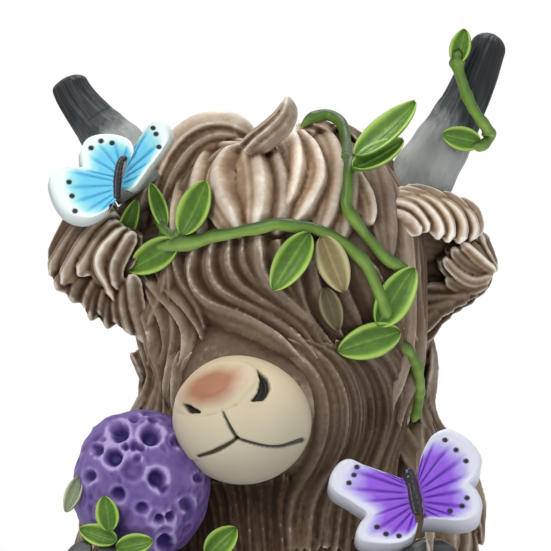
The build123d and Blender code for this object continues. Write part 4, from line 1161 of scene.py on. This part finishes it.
def vine(name, line, radius, nodes=(), knots=()):
    """A smooth stem of slightly uneven thickness."""
    segments = 28
    share = np.linspace(0, 1, len(line))
    thick = radius * (1 + 0.07 * np.sin(share * 23 + len(line)) + 0.05 * np.sin(share * 51))
    for place, swell in knots:
        thick = thick * (1 + swell * bell(share - place, 0.03))
    ends = np.minimum(share, 1 - share) * len(line)
    thick = thick * np.clip(np.sqrt(np.clip(ends / 4, 0.02, 1)), 0.14, 1)
    mesh = quad_mesh(name, *round_form(line, thick, segments))
    waves = np.sin(3 * np.tile(even_turns(segments), len(line)))
    # Painted light: the stem is paler where it faces up and darker on its sides and underside, with faint
    # stripes round it.
    give(mesh, "ridge", kept_in(0.42 + 0.42 * normals_of(mesh)[:, 2] + 0.06 * waves))
    finish(mesh, name, vine_green, nodes)


def on_hair(pixels, count, lift, tree=hair_tree):
    line, normal = drawn(pixels, count, tree)
    normal = unit(calmed(normal, 12))
    return calmed(line, 12) + unit(normal + TO_VIEWER * 0.8) * lift


def beside_hair(px, py, lift):
    """The spot on a pixel's line of sight that touches the hair, or else passes nearest to it."""
    hit = hair_tree.ray_cast(Vector(EYE), Vector(sight(px, py)))[0]
    if hit is None:
        return nearest_pass(hair_tree, px, py, HAIR_DEPTHS)[0]
    return at_depth(px, py, hit.y - lift)


crown_path = smooth_path([beside_hair(*stop, 1.2) for stop in CROWN_PIXELS], 34)
crown_path = np.vstack([crown_path, on_hair(TEMPLE_VINE_PIXELS, 60, 1.7)])
vine("vine_brow_stem", on_hair(BROW_PIXELS, 110, 1.7), 1.22, ("vine_brow",), ((0.18, 0.35), (0.95, 0.3)))
vine("vine_brow_fork", on_hair(FORK_PIXELS, 30, 1.8), 0.9)
vine("vine_brow_twig", on_hair(TWIG_PIXELS, 30, 1.8), 0.9)
vine("vine_crown_stem", crown_path, 1.15, ("vine_crown",))
vine("vine_neck_stem", on_hair(NECK_PIXELS, 50, 1.0, mane_tree), 1.2, ("vine_neck",))
vine("vine_horn_stem", seen_path(HORN_VINE_PIXELS, 80), 1.15, ("vine_horn",), ((0.12, 0.4), (0.78, 0.35)))

# Leaves on the hair. Rows are name, root, tip, width, lift, how far the tip comes forward, cup and, where
# it isn't green, paint.
HAIR_LEAF_PIXELS = (
    ("brow_end", (178, 242), (130, 270), 6.4, 2.6, 0.5, 0.35),
    ("brow_bud", (166, 228), (151, 184), 3.4, 2.6, 0.0, 0.5),
    ("brow_upright", (182, 234), (206, 181), 6.4, 3.4, 1.0, 0.45),
    ("brow_long", (137, 200), (114, 262), 3.8, 2.6, 0.0, 0.5),
    ("brow_hanging", (309, 233), (273, 290), 6.6, 2.8, 0.0, 0.45),
    ("brow_brown", (322, 236), (344, 292), 6.4, 2.0, 0.0, -0.3, olive),
    ("brow_small", (324, 288), (338, 330), 4.6, 1.2, 0.0, -0.25, umber),
    ("cheek_upper", (378, 326), (414, 268), 7.2, 3.4, 0.0, 0.4),
    ("cheek_lower", (400, 332), (338, 351), 7.0, 3.0, 0.0, 0.2),
)
# Other leaves. Rows are name, root and tip with depths, width, facing, cup and, likewise, paint.
FREE_LEAF_PIXELS = (
    ("crown_large", (356, 156, -24.5), (415, 102, -12), 6.2, (-0.1, -0.8, 0.6), 0.4),
    ("crown_small", (353, 168, -25.5), (403, 140, -18), 5.4, (-0.1, -0.9, 0.5), 0.4),
    ("horn", (481, 143, -6.5), (442, 134, -7.5), 5.0, (-0.1, -1.0, 0.1), 0.3),
    ("horn_bud", (456, 64, -5), (465, 29, -4.5), 4.4, (-0.3, -1.0, 0.1), 0.4),
    ("bunch_outer", (80, 477, -33), (66, 512, -34), 3.4, (-0.3, -1.0, 0.3), 0.4, sage),
    ("bunch_low", (110, 531, -40.5), (104, 496, -40), 4.6, (-0.1, -1.0, 0.2), 0.4),
    ("bunch_low_outer", (117, 541, -41), (80, 529, -38), 4.4, (-0.1, -0.9, 0.4), 0.4),
    ("bunch_low_inner", (116, 548, -42), (153, 541, -42), 4.4, (0.1, -0.9, 0.4), 0.4),
    ("bunch_inner", (206, 556, -34), (236, 528, -32), 5.4, (0.1, -1.0, 0.2), 0.6),
)


def leaf(name, root, tip, width, facing, cup, material=leaf_green):
    """A cupped, pointed leaf with a raised rim, a middle rib and side veins."""
    u, v = np.meshgrid(np.linspace(0, 1, 46), np.linspace(-1, 1, 25), indexing="ij")
    half = np.maximum(width / 2 * np.sin(math.pi * u**0.9) ** 0.55, 0.18)
    direction = unit(tip - root)
    facing = unit(facing - direction * (facing @ direction))
    side = np.cross(direction, facing)
    rim = bell(np.abs(v) - 0.84, 0.20) * 0.55
    rib = bell(v, 0.09) * 0.26
    veins = np.maximum(np.cos((u * 6 - np.abs(v) * 1.2) * 2 * math.pi), 0) ** 3 * 0.05 * (1 - np.abs(v))
    dish = cup * width * 0.5 * (v**2 - 1) * np.sin(math.pi * u) ** 0.6
    thin_sides = np.sqrt(np.maximum(1 - v**2, 0.02))
    thin_ends = np.sqrt(np.maximum(np.sin(math.pi * np.clip(u, 0.02, 0.98)), 0.05))
    middle = root + u[:, :, None] * (tip - root) + side * (v * half)[:, :, None]
    upper = middle + facing * (rim + rib + veins + dish)[:, :, None]
    lower = middle + facing * (dish - thin_sides * thin_ends - 0.12)[:, :, None]
    mesh = plate_mesh(name, upper, lower)
    bright = 0.22 + rim * 1.05 + rib * 0.9 + veins * 1.5 + 0.14 * u
    give(mesh, "ridge", kept_in(np.concatenate([bright.ravel(), np.full(bright.size, 0.3)])))
    node = f"leaf_{name}"
    finish(mesh, f"{node}_blade", material, (node,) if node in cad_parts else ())


def leaf_on_hair(name, root, tip, width, lift, forward, *looks):
    """A leaf between two pixels, above the hair and turned mostly to the viewer."""
    centre = ((root[0] + tip[0]) / 2, (root[1] + tip[1]) / 2)
    (start, first), (stop, second), (middle, third) = (seen_on(hair_tree, *at) for at in (root, tip, centre))
    limit = middle[1] + 1
    start = at_depth(*root, min(start[1], limit) - lift)
    stop = at_depth(*tip, min(stop[1], limit) - lift - forward)
    facing = unit(unit(first + second + third) * 0.3 + TO_VIEWER * 0.7)
    leaf(name, start, stop, width, facing, *looks)


for row in HAIR_LEAF_PIXELS:
    leaf_on_hair(*row)
for name, root, tip, width, facing, *looks in FREE_LEAF_PIXELS:
    leaf(name, at_depth(*root), at_depth(*tip), width, np.array(facing), *looks)

# Blossom. Rows of pits are pixel, radius and depth.
BLOOM_SHADES = (
    (0.0, 32, 16, 74), (0.28, 68, 48, 108), (0.52, 94, 74, 134), (0.78, 118, 98, 158), (1.0, 162, 148, 194),
)
UPPER_PIT_PIXELS = (
    (119, 432, 9.5, 2.2), (151, 435, 10, 2.2), (113, 457, 9, 1.9), (157, 478, 9, 1.9), (134, 446, 5, 0.8),
    (125, 447, 4, 0.8), (141, 447, 4, 0.8), (153, 420, 5, 0.6), (134, 418, 5, 0.6), (133, 470, 11, 0.5),
    (163, 488, 5, 0.8), (98, 450, 6, 0.9), (90, 476, 6, 0.9), (118, 494, 7, 1.0), (142, 508, 6, 0.9),
    (177, 441, 6, 0.5), (186, 504, 7, 0.7), (160, 520, 5, 1.2), (170, 517, 5, 1.2), (101, 512, 6, 0.8),
    (165, 543, 8, 1.5), (203, 541, 8, 1.4), (198, 478, 5, 0.6), (137, 458, 4, 0.7), (126, 434, 3, 0.7),
)
LOWER_PIT_PIXELS = ((120, 575, 9, 1.2), (140, 590, 9, 1.2), (110, 600, 8, 1.0))


def bloom_paint():
    p = Paint("blossom_violet", Roughness=0.55, Specular_IOR_Level=0.25)
    speck = p.noise(520, 4, 0.6)
    shade = p.ramp(p.uneven(p.value("ridge"), speck, 0.45), BLOOM_SHADES)
    p.bump(speck, 0.3, 0.0004)
    # Painted shade: the deepest pits are mixed towards a near-black violet, and the creases take the darker
    # violets.
    return p.paint(p.mix(p.value("deep"), shade, colour(30, 10, 84)))


def bloom(level, centre, size, pits, seed, lumps):
    """A lobed head of blossom with round pits pressed into it, and many small dents."""
    local = np.random.default_rng(seed)
    mesh = evaluated(sphere_mesh("bloom", 7), "DECIMATE", ratio=0.55)
    direction = unit(coordinates(mesh))
    reach = np.ones(len(direction))
    for _ in range(lumps):
        at = unit(local.normal(size=3))
        close = kept_in((direction @ at - math.cos(local.uniform(0.28, 0.5))) * 9)
        reach += close**0.6 * local.uniform(0.02, 0.08)
    points = np.array(centre) + direction * reach[:, None] * size
    seen = to_pixels(points)
    front = kept_in(-direction[:, 1] * 2.5)
    deep, sinks = np.zeros(len(points)), np.zeros(len(points))
    for px, py, radius, depth in pits:
        away = np.hypot(seen[:, 0] - px, seen[:, 1] - py) / radius
        bowl = kept_in(1.15 - away) * front
        sinks += kept_in(bowl * 2.2) * depth
        sinks -= 0.25 * bell(away - 1.25, 0.28) * front
        # Painted shade: the deepest pits are marked for near-black violet.
        if depth > 0.8:
            deep = np.maximum(deep, kept_in((bowl - 0.25) * 2.2))
    for _ in range(190):
        at = unit(local.normal(size=3))
        skewed = direction - at
        across = unit(np.cross(at, local.normal(size=3)))
        stretch = local.uniform(1.0, 2.2)
        away = np.sqrt((skewed**2).sum(1) + (stretch**2 - 1) * (skewed @ across) ** 2)
        away = away / local.uniform(0.04, 0.14)
        weight = 0.35 + 0.65 * (at[1] > -0.2)
        sinks += kept_in(kept_in(1.1 - away) * 1.6) * local.uniform(0.15, 0.9) * weight
        sinks -= 0.10 * bell(away - 1.2, 0.3)
    edges = edge_pairs(mesh)
    set_points(mesh, relaxed(points - direction * sinks[:, None], edges, 2))
    give(mesh, "ridge", ridge_values(mesh))
    give(mesh, "deep", relaxed(deep[:, None], edges, 1)[:, 0])
    finish(mesh, f"bloom_{level}_lobes", violet, (f"bloom_{level}",))


violet = bloom_paint()
bloom("upper", (-26.2, -27.0, 74.8), (13.2, 12.6, 14.6), UPPER_PIT_PIXELS, 5, 34)
bloom("lower", (-28.5, -31.0, 54.2), (8.7, 8.7, 8.7), LOWER_PIT_PIXELS, 9, 20)

# Butterflies. A wing has its root line, its outline and its dots. Lean is its y at the root and how that
# changes with each pixel across and down. Drop is how far the back lies below the front in pixels.
WING_PIXELS = {
    "purple_wing_right": {
        "root": [(404, 478), (409, 490), (412, 503), (415, 518)],
        "outline": [
            (400, 479), (390, 474), (376, 469), (362, 464), (350, 459), (340, 462), (332, 472), (329, 483),
            (334, 492), (345, 499), (356, 506), (366, 514), (360, 523), (356, 533), (360, 541), (372, 544),
            (386, 545), (402, 543), (413, 536), (418, 524),
        ],
        "dots": [(357, 467), (354, 475), (349, 483), (377, 527), (386, 534), (399, 536)],
        "lean": (-41.0, -0.045, -0.012), "thick": 2.1, "drop": (-2.0, 9.0), "ribs": 10, "radius": 3.0,
    },
    "purple_wing_left": {
        "root": [(417, 475), (419, 488), (422, 500), (424, 513)],
        "outline": [
            (419, 466), (422, 454), (427, 443), (434, 434), (446, 429), (457, 432), (468, 439), (477, 449),
            (482, 460), (479, 472), (471, 482), (477, 490), (482, 502), (481, 512), (472, 519), (458, 521),
            (444, 520), (432, 519), (424, 519),
        ],
        "dots": [(445, 440), (456, 450), (466, 461), (467, 498), (462, 506), (450, 511)],
        "lean": (-41.0, 0.045, -0.012), "thick": 2.1, "drop": (-2.0, 13.0), "ribs": 10, "radius": 3.0,
    },
    "blue_wing_right": {
        "root": [(124, 160), (119, 172), (116, 186), (116, 200)],
        "outline": [
            (131, 158), (134, 150), (130, 141), (121, 136), (108, 134), (96, 135), (87, 139), (82, 147),
            (82, 157), (83, 166), (74, 168), (62, 166), (53, 170), (51, 180), (54, 192), (60, 204), (68, 213),
            (80, 218), (92, 218), (104, 212), (112, 205),
        ],
        "dots": [(91, 148), (101, 141), (112, 143), (69, 182), (72, 196), (75, 211), (112, 206)],
        "lean": (-17.0, -0.12, 0.012), "thick": 1.9, "drop": (-3.0, 8.0), "ribs": 11, "radius": 3.0,
    },
    "blue_wing_left": {
        "root": [(128, 158), (126, 168), (123, 178), (121, 188)],
        "outline": [
            (131, 154), (136, 144), (142, 134), (148, 125), (155, 119), (163, 121), (169, 129), (170, 138),
            (165, 147), (158, 157), (150, 167), (143, 177), (136, 186), (130, 190),
        ],
        "dots": [(153, 128), (156, 134), (159, 147)],
        "lean": (-17.8, 0.045, 0.012), "thick": 1.8, "drop": (4.0, 3.0), "ribs": 6, "radius": 2.8,
    },
}
BODY_PIXELS = {
    "purple": (
        ((407, 468, -42.3), (410, 480, -42.8), (414, 496, -43.0), (418, 515, -42.4)),
        (1.0, 1.15, 0.85, 1.15, 1.2, 0.8),
    ),
    "blue": (
        ((127, 157, -18.8), (121, 161, -19.4), (118, 176, -19.6), (117, 199, -18.8)),
        (0.5, 0.7, 0.85, 0.9, 0.8, 0.7),
    ),
}


def wing_paint(name, inner, rib, middle, edge):
    """Colour that fades from the root to a pale rim, with darker ribs and dots."""
    p = Paint(name, Roughness=0.38, Specular_IOR_Level=0.35)
    haze = p.noise(330, 4, 0.6)
    along = p.uneven(p.value("along"), haze, 0.22, clamp=False)
    along = p.math("SUBTRACT", along, p.math("MULTIPLY", p.value("rib"), 0.10), clamp=True)
    stops = ((0.0, *inner), (0.50, *inner), (0.68, *middle), (0.84, *edge), (1.0, *edge))
    depth = p.faint(p.value("rib"), p.span(along, 0.75, 0.3))
    shade = p.mix(depth, p.ramp(along, stops), colour(*rib))
    p.bump(haze, 0.1, 0.0002)
    return p.paint(p.mix(p.value("dark"), shade, colour(20, 16, 34)))


def wing(name, material, slot, root, outline, dots, lean, thick, drop, ribs, radius):
    """A cast wing that fans out from its root line to its outline, with creases, a thick rim and dots."""
    rows, columns = 74, 150
    u, v = np.meshgrid(np.linspace(0, 1, rows), np.linspace(0, 1, columns), indexing="ij")
    near, far = smooth_path(root, columns), smooth_path(outline, columns)
    px, py = np.moveaxis(near[None] * (1 - u[:, :, None]) + far[None] * u[:, :, None], 2, 0)
    y = lean[0] + (px - root[0][0]) * lean[1] + (py - root[0][1]) * lean[2]
    crease = np.abs(np.cos(math.pi * ribs * v + 0.35 * np.sin(7 * v))) ** 8
    crease = crease * kept_in(u / 0.12) * kept_in((0.86 - u) / 0.25)
    relief = -0.32 * crease + 0.22 * bell(u - 0.93, 0.05)
    turn = kept_in((u - 0.955) / 0.045)
    round_off = thick * 0.32 * (1 - np.sqrt(np.maximum(1 - turn**2, 0)))
    top = at_depth(px, py, y - relief + round_off)
    mesh = plate_mesh(name, top, at_depth(px + drop[0] * u, py + drop[1] * u, y + thick))
    spots = np.zeros(u.shape)
    for dot_x, dot_y in dots:
        away = np.hypot(px - dot_x, (py - dot_y) * 1.15)
        spots = np.maximum(spots, kept_in((radius - away) / 0.9 + 0.5))
    for key, front, back in (("along", u, 1.0), ("rib", crease, 0.0), ("dark", spots, 0.0)):
        give(mesh, key, np.concatenate([front.ravel(), np.full(front.size, back)]))
    finish(mesh, f"{name}_painted", material, (name,))


def insect_paint():
    p = Paint("insect_black", Roughness=0.3)
    streak = p.uneven(p.value("ridge"), p.noise(420, 3), 0.5)
    p.bump(streak, 0.3, 0.0003)
    return p.paint(p.ramp(streak, ((0.0, 10, 8, 18), (0.75, 20, 17, 34), (1.0, 96, 92, 116))))


def insect_body(name, stops, radii):
    """A slim body with raised stripes along it."""
    rings, segments = 60, 32
    share = np.linspace(0, 1, rings)
    cap = np.clip(np.minimum(share, 1 - share) / 0.05, 0.02, 1)
    thick = resampled(radii, rings) * np.sqrt(cap * (2 - cap)) * (1 + 0.05 * np.cos(share * 60))
    mesh = quad_mesh(name, *round_form(seen_path(stops, rings), thick, segments))
    turn = np.tile(even_turns(segments), rings)
    bands = kept_in(np.cos(3 * turn)) ** 2 * np.repeat((share > 0.3) & (share < 0.92), segments)
    set_points(mesh, coordinates(mesh) + normals_of(mesh) * (bands * 0.18)[:, None])
    give(mesh, "ridge", bands)
    finish(mesh, f"{name}_cast", insect_black, (name,))


insect_black = insect_paint()
wing_paints = {
    "purple": wing_paint("wing_violet", (138, 82, 212), (78, 26, 154), (166, 150, 222), (208, 212, 226)),
    "blue": wing_paint("wing_blue", (106, 204, 236), (70, 156, 206), (158, 224, 232), (232, 246, 246)),
}
for key, shape in WING_PIXELS.items():
    kind = key.split("_")[0]
    wing(f"butterfly_{key}", wing_paints[kind], f"{kind}_wing_paint", **shape)
for kind, (stops, radii) in BODY_PIXELS.items():
    insect_body(f"butterfly_{kind}_body", stops, radii)


# Hooves, stem, felt, plug and steel pins
def grainy(name, noise, stops, strength, distance, **sockets):
    """A material with one grain for its colours and its relief."""
    p = Paint(name, **sockets)
    grain = p.noise(**noise)
    p.bump(grain, strength, distance)
    return p.paint(p.ramp(grain, stops))


hoof_slate = grainy(
    "hoof_slate", {"scale": 300, "detail": 4, "roughness": 0.6, "stretch": (0.6, 0.6, 3.0)},
    ((0.25, 26, 27, 28), (0.55, 48, 50, 50), (0.85, 88, 90, 88)), 0.35, 0.0004, Roughness=0.45,
)
felt = grainy(
    "felt_brown", {"scale": 2200, "detail": 5, "roughness": 0.7, "distortion": 0.6},
    ((0.3, 52, 44, 38), (0.7, 84, 74, 64)), 0.7, 0.0004, Roughness=0.95, Sheen_Weight=0.4,
)
rubber = grainy(
    "plug_rubber_white", {"scale": 800, "detail": 4, "roughness": 0.6},
    ((0.3, 196, 194, 186), (0.7, 220, 218, 210)), 0.2, 0.0002, Roughness=0.6,
)
steel = grainy(
    "pin_steel", {"scale": 1500, "detail": 3, "stretch": (1.0, 1.0, 0.1)},
    ((0.3, 150, 150, 152), (0.7, 190, 190, 192)), 0.15, 0.0001, Roughness=0.35, Metallic=1.0,
)
resin = grainy(
    "resin_cast", {"scale": 240, "detail": 4, "roughness": 0.6},
    ((0.3, 96, 80, 66), (0.7, 138, 120, 100)), 0.3, 0.0003, Roughness=0.6,
)
plain_nodes = {"neck_dowel": resin, "bouquet_stem": vine_green, "felt_base": felt, "pour_plug": rubber}
for side in ("right", "left"):
    plain_nodes.update({f"fore_hoof_{side}": hoof_slate, f"hind_hoof_{side}": hoof_slate})
    plain_nodes[f"horn_pin_{side}"] = steel
for node, material in plain_nodes.items():
    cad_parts[node].material_slots[0].material = material

# Camera, lamps and surroundings. Rows of lamps are name, place in metres, size, power and colour.
SENSOR_WIDTH, NEAREST_SHOWN = 36.0, 0.01
WORLD_LIGHT = 0.40
FLOOR_GREY, FLOOR_REACH = 0.86, 3
FADE_START, FADE_END = 0.12, 0.35
LAMP_TARGET = (0, 0, 0.1)
LAMPS = (
    ("key", (-0.45, -0.65, 0.75), 0.35, 5.8, (1.0, 0.98, 0.95)),
    ("fill", (0.7, -0.6, 0.35), 0.6, 1.7, (0.95, 0.97, 1.0)),
    ("top", (0.1, 0.2, 0.9), 0.4, 4.6, (1.0, 1.0, 1.0)),
)


def aimed(obj, place, direction):
    obj.location = Vector(place)
    obj.rotation_euler = Vector(direction).to_track_quat("-Z", "Y").to_euler()
    return obj


camera_data = bpy.data.cameras.new("camera")
camera_data.sensor_width = SENSOR_WIDTH
camera_data.lens = SENSOR_WIDTH * CAMERA_DISTANCE / (PICTURE_SIDE * PIXEL_SIZE)
camera_data.clip_start = NEAREST_SHOWN
bpy.context.scene.camera = aimed(linked("camera", camera_data), EYE / METRE, LOOK)
bpy.context.scene.view_settings.view_transform = "Standard"
for name, place, size, power, tint in LAMPS:
    lamp = bpy.data.lights.new(name, "AREA")
    lamp.size, lamp.energy, lamp.color = size, power, tint
    aimed(linked(name, lamp), place, Vector(LAMP_TARGET) - Vector(place))

# White world, dimmer for the light that falls on things than for the camera
world = bpy.data.worlds.new("world")
bpy.context.scene.world = world
world.use_nodes = True
sky = Nodes(world.node_tree)
background = world.node_tree.nodes["Background"].inputs
sky.feed(background["Color"], WHITE)
sky.feed(background["Strength"], sky.span(sky.direct(), 0.0, 1.0, WORLD_LIGHT, 1.0))


# White floor that fades into the world
def floor_paint():
    p = Paint("floor_white", Roughness=0.9, Base_Color=(FLOOR_GREY, FLOOR_GREY, FLOOR_GREY, 1))
    away = p.add("VectorMath", {0: p.place}, "Value", operation="LENGTH")
    fade = p.faint(p.span(away, FADE_START, FADE_END), p.direct())
    glow = p.add("Emission", {"Color": WHITE})
    surface = p.add("MixShader", {0: fade, 1: p.shader.outputs[0], 2: glow})
    p.feed(p.tree.nodes["Material Output"].inputs["Surface"], surface)
    return p.material


corners = [(x * FLOOR_REACH, y * FLOOR_REACH, 0) for x, y in ((-1, -1), (1, -1), (1, 1), (-1, 1))]
floor = linked("floor", quad_mesh("floor", corners, [(0, 1, 2, 3)]))
floor.data.materials.append(floor_paint())
